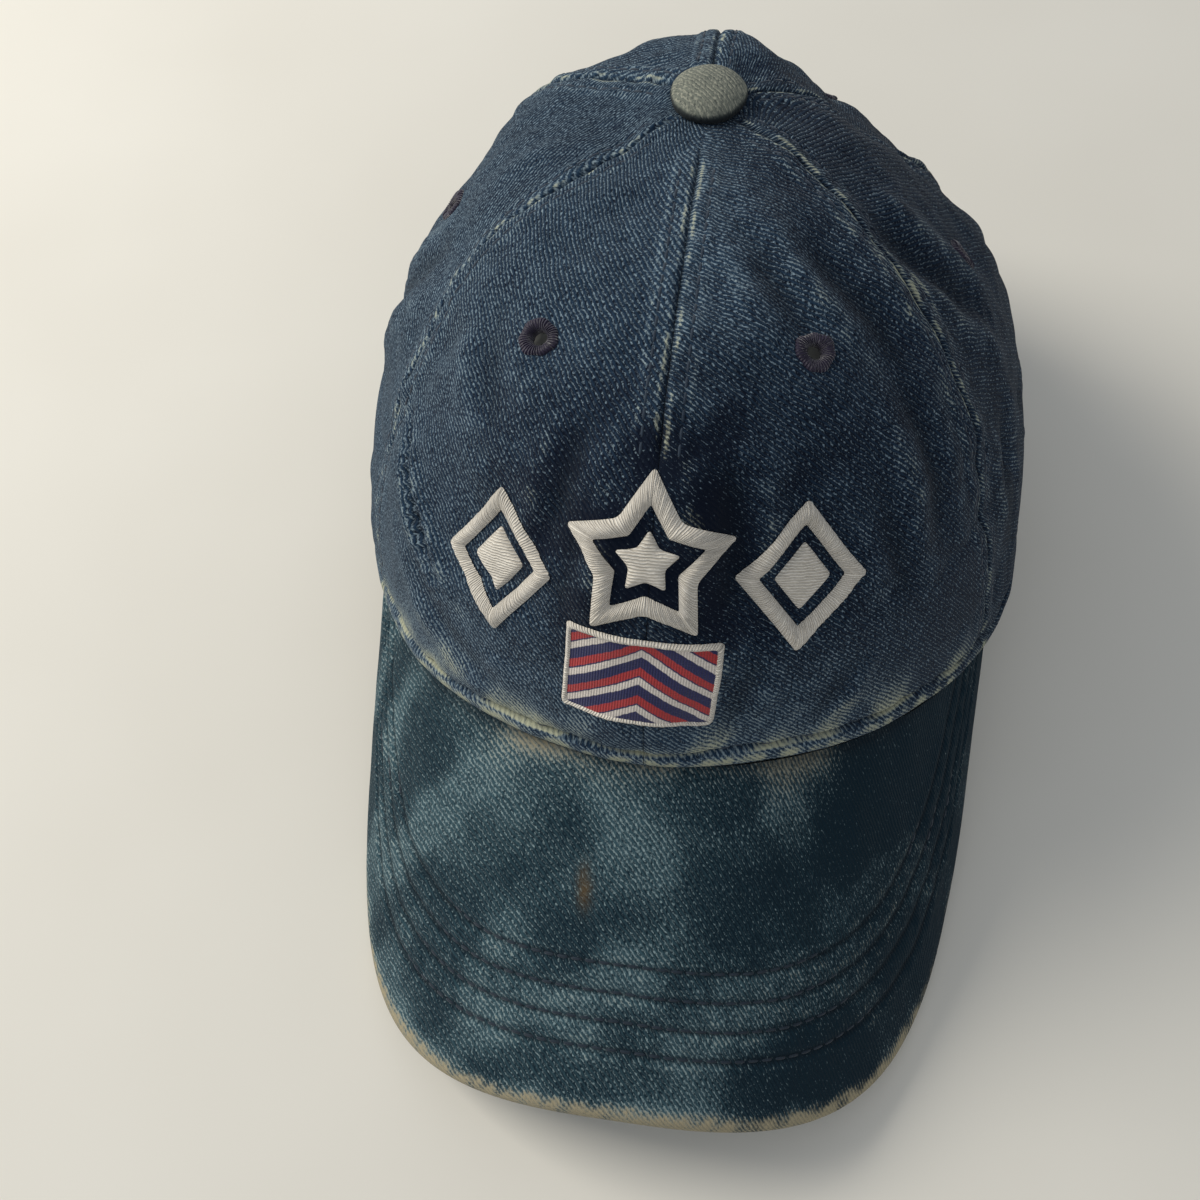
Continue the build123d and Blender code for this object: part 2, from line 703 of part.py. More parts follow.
def make_buckle_frame():
    """The brass frame: a slotted plate behind the strap and two flanges that hold the pin."""
    length = BUCKLE_HALF_LENGTH
    width = BUCKLE_HALF_WIDTH
    plate = box_between((-length, PLATE_FACE - BUCKLE_PLATE, -width), (length, PLATE_FACE, width))
    slot = box_between((-length + 2, PLATE_FACE - 3, -width + 1.4), (-length + 5.5, PLATE_FACE + 3, width - 1.4))
    frame = plate - slot
    for side in (-1, 1):
        inner = side * (width - FLANGE_THICKNESS)
        with BuildSketch(Plane.XY.offset(min(inner, side * width))) as outline:
            with BuildLine():
                Polyline((-length, PLATE_FACE), (length, PLATE_FACE), (length, FLANGE_TOP - 1.5))
                Polyline((length, FLANGE_TOP - 1.5), (length - 1.5, FLANGE_TOP), (PIN_PLACE[0] - 4, FLANGE_TOP))
                Polyline((PIN_PLACE[0] - 4, FLANGE_TOP), (-length, PLATE_FACE + 2), (-length, PLATE_FACE))
            make_face()
        frame += extrude(outline.sketch, amount=FLANGE_THICKNESS)
    frame -= Pos(*PIN_PLACE, 0) * Cylinder(PIN_RADIUS + 0.02, 4 * width)
    return buckle_plane() * frame


def make_buckle_pin():
    """The pin that the lever turns on."""
    return buckle_plane() * Pos(*PIN_PLACE, 0) * Cylinder(PIN_RADIUS, 2 * BUCKLE_HALF_WIDTH)


def make_buckle_lever():
    """The lever that clamps the strap: a barrel on the pin, a plate and a curled finger edge."""
    width = LEVER_HALF_WIDTH
    barrel = Pos(*PIN_PLACE, 0) * Cylinder(BARREL_RADIUS, 2 * width)
    low = PIN_PLACE[1] + LEVER_PLATE_LIFT
    plate = box_between((LEVER_END, low, -width), (PIN_PLACE[0], low + LEVER_PLATE, width))
    curl = Pos(LEVER_END, low + LEVER_PLATE / 2, 0) * Cylinder(LEVER_CURL_RADIUS, 2 * width)
    lever = barrel + plate + curl
    lever -= Pos(*PIN_PLACE, 0) * Cylinder(PIN_RADIUS + PIN_CLEARANCE, 4 * width)
    return buckle_plane() * lever


def make_strap_tab():
    """The tab that ties the buckle to the left side of the arch, looped round the buckle's bar."""
    end = BUCKLE_ANGLE - TAB_BUCKLE_GAP
    band = strap_band(STRAP_RADIUS - TAB_DEPTH, TAB_THICKNESS, TAB_END_ANGLE, end, TAB_HALF_WIDTH)
    bar_end = -BUCKLE_HALF_LENGTH
    half = TAB_HALF_WIDTH
    loop = box_between((bar_end - 2.5, -6.2, -half), (bar_end + 4.2, -2.9, half))
    bar = box_between((bar_end - 0.1, -5.1, -20), (bar_end + 2.1, -3.9, 20))
    return band + buckle_plane() * (loop - bar)


def stand(shape):
    """Set a piece down as the cap stands on the floor."""
    return Pos(0, STAND_SHIFT_Y, STAND_LIFT) * Rot(-STAND_TILT, 0, 0) * shape


def all_pieces():
    """Every piece of the cap, by name."""
    pieces = {}
    for panel in PANELS:
        pieces[panel + "_panel"] = make_panel(panel)
        pieces[panel + "_eyelet"] = make_eyelet(panel)
    for seam in SEAM_THETAS:
        pieces[seam + "_seam_tape"] = make_seam_tape(seam)
        pieces[seam + "_topstitch"] = make_topstitch(seam)
    pieces["hem_stitching"] = make_hem_stitching()
    pieces["arch_binding"] = make_arch_binding()
    pieces["arch_stitching"] = make_arch_stitching()
    pieces["sweatband"] = make_sweatband()
    pieces["sweatband_stitching"] = make_sweatband_stitching()
    pieces["embroidery_backing"] = make_backing()
    pieces["visor_top_cloth"] = make_visor_top()
    pieces["visor_board"] = make_visor_board()
    pieces["visor_bottom_cloth"] = make_visor_bottom()
    for index, inset in enumerate(STITCH_ROW_INSETS, start=1):
        pieces[f"visor_stitch_row_{index}"] = make_visor_row(inset)
    pieces["button_cover"] = make_button_cover()
    pieces["button_shell"] = make_button_shell()
    pieces["button_stem"] = make_button_stem()
    pieces["button_washer"] = make_button_washer()
    for name in SHAPE_PLACES:
        pieces[f"raised_shape_{name}"] = make_raised_shape(name)
    pieces["patch"] = make_patch()
    pieces["patch_border"] = make_patch_border()
    pieces["strap"] = make_strap()
    pieces["strap_stitching"] = make_strap_stitching()
    pieces["strap_tab"] = make_strap_tab()
    pieces["buckle_frame"] = make_buckle_frame()
    pieces["buckle_pin"] = make_buckle_pin()
    pieces["buckle_lever"] = make_buckle_lever()
    return pieces


os.makedirs("parts", exist_ok=True)
for name, shape in all_pieces().items():
    export_step(stand(shape), f"parts/{name}.step")
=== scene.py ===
import math

import bpy
import numpy as np
from mathutils import Matrix


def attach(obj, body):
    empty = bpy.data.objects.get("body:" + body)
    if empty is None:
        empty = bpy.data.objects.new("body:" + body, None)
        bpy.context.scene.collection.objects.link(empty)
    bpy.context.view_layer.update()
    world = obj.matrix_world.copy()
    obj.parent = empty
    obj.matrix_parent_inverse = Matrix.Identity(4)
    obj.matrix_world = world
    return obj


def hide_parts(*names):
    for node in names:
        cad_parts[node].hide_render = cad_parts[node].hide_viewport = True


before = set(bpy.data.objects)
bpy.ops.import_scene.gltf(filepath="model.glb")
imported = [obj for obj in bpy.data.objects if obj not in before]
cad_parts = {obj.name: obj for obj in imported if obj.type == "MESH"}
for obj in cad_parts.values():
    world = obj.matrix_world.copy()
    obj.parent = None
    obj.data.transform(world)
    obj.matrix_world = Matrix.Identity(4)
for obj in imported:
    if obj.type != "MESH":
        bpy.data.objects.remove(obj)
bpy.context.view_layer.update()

# A worn denim baseball cap. Shapes are in millimetres in the frame of the head opening
# (back of the rim at z = 0, front towards -Y) and are set down on the floor at the end.
# theta is the angle round the crown, 0 at the front and growing towards +X.
# t is the height up the crown, 0 at the rim and 1 at the top.
PI = math.pi
HALF_WIDTH = 85.0
HALF_LENGTH = 100.5
TOP_HEIGHT = 109.4
TOP_Y = 12.0
TOP_T = 0.991
RIM_FRONT_HEIGHT = 26.7
RIM_SIDE_RISE = 2.0
FULLNESS = {"front": 0.68, "back": 0.87, "left": 0.82, "right": 0.89}
HUMP = (6.4, -2.9, 36.0, 29.0, 21.3)
DENT = (7.4, math.radians(132.8), 0.672, 0.45, 0.2, 39.0)
CORNER_THETA = math.radians(64)
RIM_BLEND = math.radians(6)
CLOTH = 1.1
SEAMS = {"front": 0, "front_right": 60, "rear_right": 120, "rear": 180, "rear_left": 240, "front_left": 300}
PANELS = {
    "front_right": ("front", 60),
    "side_right": ("front_right", 120),
    "rear_right": ("rear_right", 180),
    "rear_left": ("rear", 240),
    "side_left": ("rear_left", 300),
    "front_left": ("front_left", 360),
}
SEAM_ALLOWANCE = 4.9
TOPSTITCH = 3.5
HEM = 4.8

# Visor
VISOR_REACH = 61.8
VISOR_HALF_WIDTH = 97.7
VISOR_POWER = 0.825
VISOR_ROLL = 82.5
VISOR_SLOPE = math.radians(38)
VISOR_THICKNESS = 3.9
VISOR_CLOTH = 1.0
ROW_INSETS = (12.4, 17.3, 22.2, 27.1)

# Arched opening, strap and buckle at the back
ARCH = 46.0
STRAP_RADIUS = 74.0
STRAP_CENTRE_Y = 21.6
STRAP_HEIGHT = 15.6
STRAP_WIDTH = 18.0
STRAP_THICKNESS = 1.6
STRAP_HALF_ANGLE = math.radians(50.5)
BUCKLE_ANGLE = math.radians(-12)
TAB_END_ANGLE = math.radians(-36.5)

# Places of the eyelets and of the raised shapes: theta, t, turn
EYELETS = {
    "front_right": (30, 0.657),
    "side_right": (90, 0.54),
    "rear_right": (150, 0.62),
    "rear_left": (210, 0.62),
    "side_left": (270, 0.577),
    "front_left": (330, 0.657),
}
SHAPES = {"left": (-25.5, 0.329, 10), "middle": (-0.5, 0.405, 0), "right": (23.1, 0.355, -12)}
PATCH = (-0.8, 0.205, -3)
PATCH_SIZE = (31.0, 20.5)
SHAPE_HEIGHT = 1.5
STROKE = 3.4
STROKE_GAP = 2.3

# Inside: sweatband, seam tapes and the backing of the raised shapes
SWEATBAND_END = math.radians(146)
SWEATBAND_TOP_T = 0.2
SWEATBAND_THICKNESS = 1.2
TAPE_HALF_WIDTH = 6
TAPE_THICKNESS = 0.55
FELT_REACH = math.radians(40)

# Small parts
EYELET_HOLE = 2.25
BUTTON_RADIUS = 8.15
LOZENGE = (14.5, 15.5)
STAR_RADIUS = 17.5
STAR_WAIST = 0.56
TAB_RADIUS = 69.2
TAB_LAYER_GAP = 0.48

# A piece's UV map holds its cloth coordinates over this many millimetres
UV_SIZE = 100.0

# How the cap stands
TILT = math.radians(11.25)
STAND_Y = 30.38
STAND_Z = 14.25


def smooth(value):
    """u squared times (3 - 2 u), where u is the value held between 0 and 1."""
    u = np.clip(value, 0.0, 1.0)
    return u * u * (3 - 2 * u)


def bell(distance, width):
    """e to the power of minus the square of distance over width."""
    return np.exp(-((distance / width) ** 2))


def unit(vectors):
    """Vectors over their lengths."""
    return vectors / np.linalg.norm(vectors, axis=-1, keepdims=True)


def ripples(points, size, seed, count=14):
    """Soft random folds, about 1 high: a sum of cosines with seeded directions, rates and phases.

    The rates lie near one turn per size.
    """
    rng = np.random.default_rng(seed)
    directions = unit(rng.normal(size=(count, 3)))
    rates = 2 * PI / size * rng.uniform(0.6, 1.5, count)
    phases = rng.uniform(0, 2 * PI, count)
    return np.cos(points @ (directions * rates[:, None]).T + phases).sum(-1) * math.sqrt(2 / count)


def rim_xy(theta):
    """An ellipse: half width times sine, minus half length times cosine."""
    return HALF_WIDTH * np.sin(theta), -HALF_LENGTH * np.cos(theta)


def visor_z(x, y):
    """A plane that slopes down to the front, less the drop of a cylinder's side."""
    roll = VISOR_ROLL - np.sqrt(np.maximum(VISOR_ROLL**2 - x**2, 0))
    return RIM_FRONT_HEIGHT + math.tan(VISOR_SLOPE) * (y + HALF_LENGTH) - roll / math.cos(VISOR_SLOPE)


def rim_z(theta):
    """The visor's height at the front, blended round its corner into a cubic that falls to 0 at the back.

    The back part also has a sine-squared rise.
    """
    turn = np.abs(np.mod(theta + PI, 2 * PI) - PI)
    u = np.clip((turn - CORNER_THETA) / (PI - CORNER_THETA), -1, 1)
    corner = visor_z(*rim_xy(CORNER_THETA))
    back = corner * (1 - u) ** 2 * (1 + 2 * u) + RIM_SIDE_RISE * np.sin(PI * u) ** 2
    front = visor_z(*rim_xy(np.minimum(turn, CORNER_THETA + RIM_BLEND)))
    share = smooth((turn - CORNER_THETA + RIM_BLEND) / (2 * RIM_BLEND))
    return front + (back - front) * share


def crown(theta, t):
    """The crown's pattern surface, with a bell-shaped dent and a bell-shaped hump.

    The rim is drawn in by a power of the cosine of t's angle and lifted by its sine.
    """
    theta, t = np.broadcast_arrays(np.asarray(theta, float), np.asarray(t, float))
    phi = np.clip(t, 0, 1 - 1e-9) * PI / 2
    c, s = np.cos(theta), np.sin(theta)
    fore = np.where(c > 0, FULLNESS["front"], FULLNESS["back"])
    side = np.where(s > 0, FULLNESS["right"], FULLNESS["left"])
    reach = np.cos(phi) ** (fore * c**2 + side * s**2)
    rise = np.where(t >= 0, np.sin(phi), t * PI / 2)
    x0, y0 = rim_xy(theta)
    z0 = rim_z(theta)
    points = np.stack([x0 * reach, TOP_Y + (y0 - TOP_Y) * reach, z0 + (TOP_HEIGHT - z0) * rise], -1)
    depth, dent_theta, dent_t, wide, tall, aim_z = DENT
    turn = np.mod(theta - dent_theta + PI, 2 * PI) - PI
    dent = depth * bell(turn, wide) * bell(t - dent_t, tall)
    points = points - unit(points - np.array([0, 0, aim_z])) * dent[..., None]
    height, hump_x, hump_y, across, along = HUMP
    points[..., 2] += height * bell(points[..., 0] - hump_x, across) * bell(points[..., 1] - hump_y, along)
    return points


def crown_frame(theta, t):
    """The crown's two slopes, from differences over a small step, and their cross product, the normal."""
    step = 1e-4
    low = np.minimum(t, 1 - 2 * step)
    along = (crown(theta + step, t) - crown(theta - step, t)) / (2 * step)
    up = (crown(theta, low + step) - crown(theta, low)) / step
    return along, up, unit(np.cross(along, up))


CLIMB_T = np.linspace(0, 1, 161)
CLIMB_THETA = np.radians(np.arange(0, 362))
_lengths = np.linalg.norm(np.diff(crown(CLIMB_THETA[:, None], CLIMB_T[None, :]), axis=1), axis=-1)
CLIMB = np.concatenate([np.zeros((len(CLIMB_THETA), 1)), np.cumsum(_lengths, axis=1)], axis=1)


def climb(theta, t):
    """Length of cloth from the rim up to t, read from a table by bilinear weights."""
    theta, t = np.broadcast_arrays(np.asarray(theta, float), np.asarray(t, float))
    a = np.degrees(np.mod(theta, 2 * PI))
    b = np.clip(t, 0, 1) * (len(CLIMB_T) - 1)
    i = np.minimum(a.astype(int), len(CLIMB_THETA) - 2)
    j = np.minimum(b.astype(int), len(CLIMB_T) - 2)
    a, b = a - i, b - j
    low = CLIMB[i, j] * (1 - a) + CLIMB[i + 1, j] * a
    high = CLIMB[i, j + 1] * (1 - a) + CLIMB[i + 1, j + 1] * a
    return low * (1 - b) + high * b


def settle(theta, t, origin, side, rise, x, y):
    """Newton's method: the theta and t whose crown point lies x along side and y along rise from origin."""
    for _turn in range(10):
        along, up, _n = crown_frame(theta, t)
        off = crown(theta, t) - origin
        dx, dy = off @ side - x, off @ rise - y
        a, b, c, d = along @ side, up @ side, along @ rise, up @ rise
        det = a * d - b * c
        theta = theta - np.clip((dx * d - dy * b) / det, -0.2, 0.2)
        t = np.clip(t - np.clip((a * dy - c * dx) / det, -0.1, 0.1), 0, 0.985)
    return theta, t


def on_arch(turn, grow):
    """theta and t of the arch's half circle, turn from 0 at +X to pi at -X, grown outwards."""
    x, z = (ARCH + grow) * np.cos(turn), (ARCH + grow) * np.sin(turn)
    x, z = np.broadcast_arrays(x, z)
    guess_theta = PI - np.arcsin(np.clip(x / HALF_WIDTH, -1, 1))
    guess_t = z / 160
    return settle(guess_theta, guess_t, np.zeros(3), np.array([1.0, 0, 0]), np.array([0, 0, 1.0]), x, z)


# Creases: theta in degrees and t at both ends, then half width and depth in millimetres
CREASES = (
    (-57, 0.43, -33, 0.20, 1.5, 1.3),
    (-47, 0.26, -20, 0.07, 3.0, 0.7),
    (-14, 0.60, -16, 0.34, 3.2, 1.0),
    (-9, 0.50, -14, 0.28, 2.4, 0.8),
    (12, 0.56, 12, 0.30, 3.4, 1.1),
    (16, 0.26, 10, 0.07, 2.6, 0.9),
    (32, 0.22, 22, 0.06, 2.4, 0.7),
    (37, 0.46, 41, 0.22, 3.0, 0.8),
    (47, 0.60, 49, 0.30, 3.2, 0.9),
    (-44, 0.66, -30, 0.50, 3.6, 0.7),
    (40, 0.80, 52, 0.55, 3.5, 1.1),
    (20, 0.86, 31, 0.66, 3.0, 0.8),
    (66, 0.75, 84, 0.45, 4.0, 1.3),
    (72, 0.40, 70, 0.12, 3.4, 1.0),
    (84, 0.32, 96, 0.10, 3.6, 0.9),
    (-75, 0.62, -88, 0.35, 4.2, 0.9),
    (-98, 0.40, -92, 0.12, 4.0, 0.8),
    (112, 0.52, 128, 0.30, 4.2, 1.2),
    (-128, 0.66, -142, 0.42, 4.5, 1.1),
    (158, 0.80, 150, 0.52, 4.0, 1.0),
    (-168, 0.82, -158, 0.55, 4.0, 0.9),
)


def creases(points):
    """Each crease is a valley, a bell of the distance to its line, with a lower ridge beside it.

    Both fade to the line's ends as a power of a sine.
    """
    total = np.zeros(points.shape[:-1])
    for theta0, t0, theta1, t1, width, depth in CREASES:
        share = np.linspace(0, 1, 15)
        line = crown(np.radians(theta0 + (theta1 - theta0) * share), t0 + (t1 - t0) * share)
        gaps = np.linalg.norm(points[..., None, :] - line, axis=-1)
        nearest = gaps.min(-1)
        place = share[gaps.argmin(-1)]
        ends = np.sin(PI * np.clip(place, 0.02, 0.98)) ** 0.7
        total += 1.7 * depth * ends * (0.55 * bell(nearest - 2.2 * width, width) - bell(nearest, width))
    return total


def slack(theta, t, points):
    """How far washed cloth stands off its pattern: three sizes of ripples, and the creases.

    It is held flat at the button and near the strap, and low down it never sinks to the sweatband.
    """
    back = smooth((-np.cos(theta) + 0.1) / 0.5)
    hold = smooth(0.25 + t / 0.12) * (1 - back * (1 - smooth((t - 0.22) / 0.2)))
    hold = hold * smooth((0.965 - t) / 0.08)
    folds = 0.95 * ripples(points, 62, 3) + 0.42 * ripples(points, 24, 5) + 0.15 * ripples(points, 10, 7)
    deepest = -0.6 - 6 * smooth((t - 0.24) / 0.12)
    return np.maximum(hold * (folds + creases(points)), deepest)


def seam_distance(theta, along):
    """Distance in millimetres to the nearest seam, and which seam it is."""
    around = np.linalg.norm(along, axis=-1)
    seams = np.radians(list(SEAMS.values()))
    gaps = np.abs(np.mod(theta[..., None] - seams + PI, 2 * PI) - PI)
    return gaps.min(-1) * around, gaps.argmin(-1)


def seam_strength(nearest, t):
    """Seams stand fully proud, except the front one under the raised shapes."""
    low_front = 0.3 + 0.7 * smooth((t - 0.53) / 0.05)
    return np.where(nearest == 0, low_front, 1.0) * smooth((0.985 - t) / 0.05)


def relief(theta, t):
    """The outer face's height over the pattern: slack, seams, the rolled hem and its groove, and puckers.

    A seam is a flat ridge with a valley at its middle and one under each row of topstitch.
    """
    theta, t = np.broadcast_arrays(np.asarray(theta, float), np.asarray(t, float))
    points = crown(theta, t)
    along, _up, _n = crown_frame(theta, t)
    gap, nearest = seam_distance(theta, along)
    pucker = 1 + 0.38 * ripples(points, 8, 11)
    ridge = 0.5 * smooth((SEAM_ALLOWANCE + 1.2 - gap) / 2.4) * pucker
    valley = 0.85 * bell(gap, 0.62) + 0.34 * bell(gap - TOPSTITCH, 0.55)
    seams = (ridge - valley) * seam_strength(nearest, t)
    up = climb(theta, t)
    front = smooth((np.cos(theta) + 0.15) / 0.5)
    roll = np.sin(PI * np.clip(up / HEM, 0, 1)) ** 0.6 * (0.35 + 0.75 * front)
    groove = bell(up - HEM - 0.5, 0.6) * (0.4 + 0.5 * front)
    gathers = 0.22 * ripples(points, 6.5, 13) * np.exp(-np.maximum(up - HEM, 0) / 7) * (up > HEM)
    seams = seams * smooth((up - HEM) / 3)
    return slack(theta, t, points) + seams + roll - groove + gathers


def cloth(theta, t, out):
    """The crown's point moved out along its normal."""
    _along, _up, normal = crown_frame(theta, t)
    return crown(theta, t) + normal * np.asarray(out)[..., None]


def backing(theta, t, out):
    """As cloth, but riding on the slack alone, for pieces that lie on or under the panels."""
    return cloth(theta, t, slack(theta, t, crown(theta, t)) + out)


def visor_point(across, y, depth):
    """The flat pattern rolled round a sloping cylinder, at a depth under its top."""
    turn = across / VISOR_ROLL
    sag = VISOR_ROLL * (np.cos(turn) - 1)
    run = (y + HALF_LENGTH + math.sin(VISOR_SLOPE) * sag) / math.cos(VISOR_SLOPE)
    radius = VISOR_ROLL - depth
    height = radius * np.cos(turn) - VISOR_ROLL
    back = -HALF_LENGTH + run * math.cos(VISOR_SLOPE) - height * math.sin(VISOR_SLOPE)
    lift = RIM_FRONT_HEIGHT + run * math.sin(VISOR_SLOPE) + height * math.cos(VISOR_SLOPE)
    return np.stack([radius * np.sin(turn), back, lift], -1)


def visor_edge(s, inset):
    """The visor's outline in the flat pattern, a sine and cosine to a power, moved in square to itself."""
    s = np.asarray(s, float)

    def outline(s):
        angle = s * PI / 2
        corner_y = rim_xy(CORNER_THETA)[1]
        across = np.sign(s) * np.abs(np.sin(angle)) ** VISOR_POWER
        reach = HALF_LENGTH + corner_y + VISOR_REACH
        return VISOR_HALF_WIDTH * across, corner_y - reach * np.abs(np.cos(angle)) ** VISOR_POWER

    step = 1e-3
    s0 = np.maximum(s - step, -1 + step)
    x, y = outline(s)
    x0, y0 = outline(s0)
    x1, y1 = outline(s0 + step)
    length = np.hypot(x1 - x0, y1 - y0)
    side = np.sign(s) * np.abs(y1 - y0) / length
    return x - side * inset, y + np.abs(x1 - x0) / length * inset


def stand(points):
    """Millimetres in the opening's frame to metres on the floor: a tilt about X, then a shift."""
    x, y, z = points[..., 0], points[..., 1], points[..., 2]
    c, s = math.cos(TILT), math.sin(TILT)
    return np.stack([x, y * c + z * s + STAND_Y, z * c - y * s + STAND_Z], -1) / 1000


def quads(rows, columns, start=0, close_rows=False, close_columns=False, flip=False):
    """Faces of a grid of points counted row by row."""
    row_steps = np.arange(rows - (not close_rows))
    column_steps = np.arange(columns - (not close_columns))
    r, c = np.meshgrid(row_steps, column_steps, indexing="ij")
    r2, c2 = (r + 1) % rows, (c + 1) % columns
    corners = (r * columns + c, r * columns + c2, r2 * columns + c2, r2 * columns + c)
    faces = np.stack(corners, -1).reshape(-1, 4)
    return (faces[:, ::-1] if flip else faces) + start


def pole_faces(rows, columns, flip=False):
    """Triangles that close a grid's first and last rows to two poles, numbered after the grid."""
    count = rows * columns
    ring = np.arange(columns)
    ahead = (ring + 1) % columns
    first = np.stack([np.full(columns, count), ahead, ring], -1)
    last = np.stack([np.full(columns, count + 1), ring + count - columns, ahead + count - columns], -1)
    faces = np.concatenate([first, last])
    return faces[:, [0, 2, 1]] if flip else faces


def slab(outer, inner):
    """A closed sheet: the outer grid, the inner grid turned over, and a wall along each border."""
    rows, columns = outer.shape[:2]
    count = rows * columns
    ids = np.arange(count).reshape(rows, columns)
    walls = []
    for border, turned in ((ids[0], True), (ids[-1], False), (ids[:, 0], False), (ids[:, -1], True)):
        wall = np.stack([border[:-1], border[1:], border[1:] + count, border[:-1] + count], -1)
        walls.append(wall[:, ::-1] if turned else wall)
    faces = np.concatenate([quads(rows, columns), quads(rows, columns, count, flip=True), *walls])
    return np.concatenate([outer.reshape(-1, 3), inner.reshape(-1, 3)]), faces


def piece(name, points, faces, looks, body, replaced, uv=None, marks=None, look_of=None, sharp=55):
    """Millimetre points and faces, arrays of quads or triangles, become one object that rides a body."""
    groups = faces if isinstance(faces, list) else [faces]
    corners = np.concatenate([group.ravel() for group in groups]).astype(np.int32)
    sizes = np.concatenate([np.full(len(group), group.shape[1]) for group in groups])
    starts = np.concatenate([[0], np.cumsum(sizes)[:-1]]).astype(np.int32)
    mesh = bpy.data.meshes.new(name)
    mesh.vertices.add(len(points))
    mesh.vertices.foreach_set("co", stand(points).astype(np.float32).ravel())
    mesh.loops.add(len(corners))
    mesh.loops.foreach_set("vertex_index", corners)
    mesh.polygons.add(len(sizes))
    mesh.polygons.foreach_set("loop_start", starts)
    mesh.update(calc_edges=True)
    mesh.polygons.foreach_set("use_smooth", np.ones(len(sizes), bool))
    for look in looks if isinstance(looks, list) else [looks]:
        mesh.materials.append(look)
    if look_of is not None:
        mesh.polygons.foreach_set("material_index", look_of.astype(np.int32))
    if uv is not None:
        layer = mesh.uv_layers.new(name="cloth")
        layer.data.foreach_set("uv", (uv[corners] / UV_SIZE).astype(np.float32).ravel())
    for mark, values in (marks or {}).items():
        mesh.attributes.new(mark, "FLOAT", "POINT").data.foreach_set("value", values.astype(np.float32))
    mesh.set_sharp_from_angle(angle=math.radians(sharp))
    made = bpy.data.objects.new(name, mesh)
    bpy.context.scene.collection.objects.link(made)
    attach(made, body)
    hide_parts(*replaced)
    return made


def colour(red, green, blue):
    """Screen colour from 0 to 255 as the linear colour that a shader takes."""
    values = np.array([red, green, blue]) / 255
    linear = np.where(values <= 0.04045, values / 12.92, ((values + 0.055) / 1.055) ** 2.4)
    return (*(float(v) for v in linear), 1.0)


class Value:
    """A number in a material. Arithmetic on it adds Math nodes."""

    def __init__(self, finish, socket):
        self.finish = finish
        self.socket = socket

    def maths(self, operation, *terms):
        return self.finish.add("ShaderNodeMath", {"operation": operation}, dict(enumerate(terms)))

    def __add__(self, other):
        return self.maths("ADD", self, other)

    def __radd__(self, other):
        return self.maths("ADD", other, self)

    def __sub__(self, other):
        return self.maths("SUBTRACT", self, other)

    def __rsub__(self, other):
        return self.maths("SUBTRACT", other, self)

    def __mul__(self, other):
        return self.maths("MULTIPLY", self, other)

    def __rmul__(self, other):
        return self.maths("MULTIPLY", other, self)

    def sine(self):
        return self.maths("SINE", self)

    def size(self):
        return self.maths("ABSOLUTE", self)

    def remainder(self, step):
        return self.maths("FLOORED_MODULO", self, step)

    def held(self):
        return self.maths("MINIMUM", self.maths("MAXIMUM", self, 0.0), 1.0)

    def ramp(self, low, high):
        sockets = {"Value": self, "From Min": low, "From Max": high, "To Min": 0.0, "To Max": 1.0}
        return self.finish.add("ShaderNodeMapRange", {"interpolation_type": "SMOOTHSTEP"}, sockets)


class Finish:
    """A material with a Principled shader, built node by node."""

    def __init__(self, name, **sockets):
        self.material = bpy.data.materials.new(name)
        self.material.use_nodes = True
        self.tree = self.material.node_tree
        self.tree.nodes.clear()
        self.shader = self.tree.nodes.new("ShaderNodeBsdfPrincipled")
        output = self.tree.nodes.new("ShaderNodeOutputMaterial")
        self.tree.links.new(self.shader.outputs[0], output.inputs[0])
        for socket, value in sockets.items():
            self.shader.inputs[socket.replace("_", " ")].default_value = value

    def add(self, kind, settings=None, sockets=None, output=0):
        """A node of that kind: its settings first, then its sockets' values or links."""
        node = self.tree.nodes.new(kind)
        for key, value in (settings or {}).items():
            setattr(node, key, value)
        for key, value in (sockets or {}).items():
            if isinstance(value, Value):
                self.tree.links.new(value.socket, node.inputs[key])
            else:
                node.inputs[key].default_value = value
        return Value(self, node.outputs[output])

    def feed(self, socket, value):
        self.tree.links.new(value.socket, self.shader.inputs[socket])

    def mix(self, share, first, second):
        settings = {"data_type": "RGBA", "clamp_factor": True}
        return self.add("ShaderNodeMix", settings, {0: share, 6: first, 7: second}, 2)

    def place(self):
        """Object coordinates in millimetres."""
        coordinates = self.add("ShaderNodeTexCoord", output=3)
        return self.add("ShaderNodeVectorMath", {"operation": "SCALE"}, {0: coordinates, "Scale": 1000.0})

    def cloth(self):
        """The cloth's own coordinates in millimetres, u and v."""
        coordinates = self.add("ShaderNodeUVMap", {"uv_map": "cloth"})
        split = self.tree.nodes.new("ShaderNodeSeparateXYZ")
        self.tree.links.new(coordinates.socket, split.inputs[0])
        return Value(self, split.outputs[0]) * UV_SIZE, Value(self, split.outputs[1]) * UV_SIZE

    def vector(self, x, y, z=0.0):
        return self.add("ShaderNodeCombineXYZ", {}, {0: x, 1: y, 2: z})

    def noise(self, where, rate, detail=3.0, rough=0.55):
        sockets = {"Vector": where, "Scale": rate, "Detail": detail, "Roughness": rough}
        return self.add("ShaderNodeTexNoise", {}, sockets)

    def mark(self, name):
        return self.add("ShaderNodeAttribute", {"attribute_name": name}, {}, 2)

    def bump(self, height, distance, strength=1.0):
        """Height from 0 to 1, over a distance in millimetres."""
        sockets = {"Strength": strength, "Distance": distance / 1000, "Height": height}
        self.feed("Normal", self.add("ShaderNodeBump", {}, sockets))


